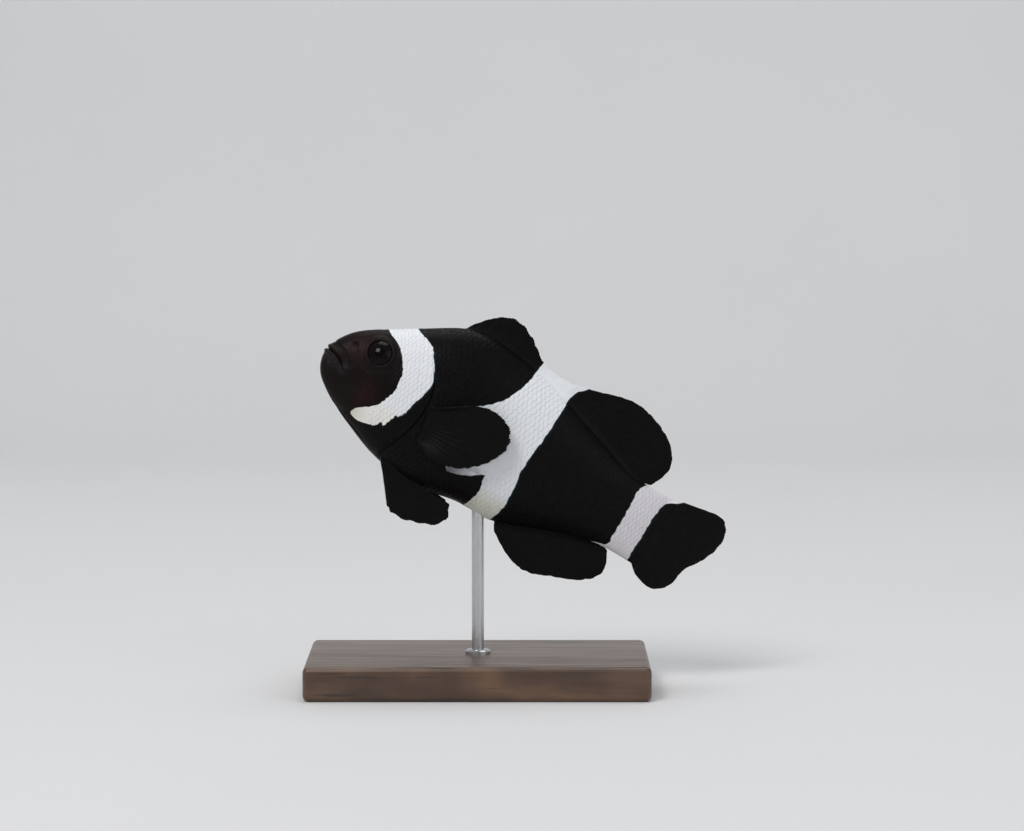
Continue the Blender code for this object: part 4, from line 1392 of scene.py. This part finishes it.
def turned(name, profile, centre, material):
    """A closed solid turned about an upright line, from a profile of (radius, height)."""
    spokes = np.arange(TURNED_SPOKES)
    angle = spokes * math.tau / TURNED_SPOKES
    radius, height = (np.array(column)[:, None] for column in zip(*profile))
    x, y = centre[0] + radius * np.cos(angle), centre[1] + radius * np.sin(angle)
    points = np.stack([x, y, height + 0 * angle], axis=-1).reshape(-1, 3)
    faces = grid_faces(len(profile), TURNED_SPOKES, closed=True)
    top = (len(profile) - 1) * TURNED_SPOKES + spokes
    piece = add_object(name, mesh_of(name, points, faces, spokes[None, ::-1], top[None, :]), material)
    piece.data.set_sharp_from_angle(angle=TURNED_SHARP)
    return piece


def build_stand():
    low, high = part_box("stand_base")
    shape = bmesh.new()
    bmesh.ops.create_cube(shape, size=1.0)
    bmesh.ops.scale(shape, vec=high - low, verts=shape.verts)
    bmesh.ops.translate(shape, vec=(low + high) / 2, verts=shape.verts)
    bmesh.ops.bevel(shape, geom=shape.edges[:], offset=BASE_ROUNDING, segments=8, profile=0.5, affect="EDGES")
    mesh = bpy.data.meshes.new("stand_block")
    shape.to_mesh(mesh)
    shape.free()
    base = add_object("stand_block", mesh, walnut_material())
    mesh.set_sharp_from_angle(angle=BASE_SHARP)
    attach(base, "root")
    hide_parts("stand_base")
    steel = steel_material()
    rod_low, rod_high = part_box("stand_rod")
    centre = (rod_low + rod_high) / 2
    radius = (rod_high.x - rod_low.x) / 2
    rod = turned("stand_post", [(radius, rod_low.z), (radius, rod_high.z)], centre, steel)
    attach(rod, "root")
    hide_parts("stand_rod")
    profile = [*COLLAR, (radius + COLLAR_GAP, COLLAR[-1][1])]
    collar = turned("stand_collar", [(r, high.z + rise) for r, rise in profile], centre, steel)
    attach(collar, "root")


# --- Studio ---

VIEW_CENTRE = Vector((0.0070, 0.0, 0.0560))
VIEW_WIDTH = 0.2094
LENS = 135.0
SENSOR = 36.0
CAMERA_RISE = math.radians(4.5)
NEAREST_SEEN = 0.01
# The floor runs back and bends up into a wall.
FLOOR_FRONT = -1.6
FLOOR_REAR = 0.55
FLOOR_HALF_WIDTH = 2.4
BEND_RADIUS = 0.35
WALL_TOP = 1.6
# Each light: its place, its size, its power in watts and its colour.
LIGHTS = {
    "key": ((-0.45, -0.75, 0.95), 0.42, 7.0, (1.0, 0.985, 0.96)),
    "fill": ((0.85, -0.70, 0.45), 0.80, 2.0, (0.95, 0.97, 1.0)),
    "top": ((0.10, 0.25, 1.10), 0.70, 4.4, (1.0, 1.0, 1.0)),
}
SKY = (0.92, 0.95, 1.0, 1.0)
SKY_STRENGTH = 0.42


def facing_along(way):
    """The turn of a lamp or a camera that looks a way."""
    return way.to_track_quat("-Z", "Y").to_euler()


def studio():
    turns = np.linspace(0.05, math.pi / 2, 24)
    bend = [(FLOOR_REAR + BEND_RADIUS * math.sin(a), BEND_RADIUS * (1 - math.cos(a))) for a in turns]
    line = [(FLOOR_FRONT, 0.0), (FLOOR_REAR, 0.0), *bend, (FLOOR_REAR + BEND_RADIUS, WALL_TOP)]
    points = [(x, y, z) for y, z in line for x in (-FLOOR_HALF_WIDTH, FLOOR_HALF_WIDTH)]
    mesh = mesh_of("pale_floor", points, grid_faces(len(line), 2))
    floor = add_object("pale_floor", mesh, plaster_material())
    for name, (place, size, power, colour) in LIGHTS.items():
        light = bpy.data.lights.new(name, "AREA")
        light.size = size
        light.energy = power
        light.color = colour
        lamp = add_object(name, light)
        lamp.location = place
        lamp.rotation_euler = facing_along(VIEW_CENTRE - Vector(place))
    world = bpy.data.worlds.new("studio")
    world.use_nodes = True
    background = world.node_tree.nodes["Background"]
    background.inputs["Color"].default_value = SKY
    background.inputs["Strength"].default_value = SKY_STRENGTH
    view = bpy.data.cameras.new("camera")
    view.lens = LENS
    view.sensor_width = SENSOR
    view.clip_start = NEAREST_SEEN
    camera = add_object("camera", view)
    back = Vector((0.0, -math.cos(CAMERA_RISE), math.sin(CAMERA_RISE)))
    camera.location = VIEW_CENTRE + back * VIEW_WIDTH * LENS / SENSOR
    camera.rotation_euler = facing_along(-back)
    scene = bpy.context.scene
    scene.world = world
    scene.view_settings.view_transform = "Standard"
    scene.camera = camera


build_fish()
gloss = eye_material()
build_eye("left", -1, gloss)
build_eye("right", 1, gloss)
build_stand()
studio()
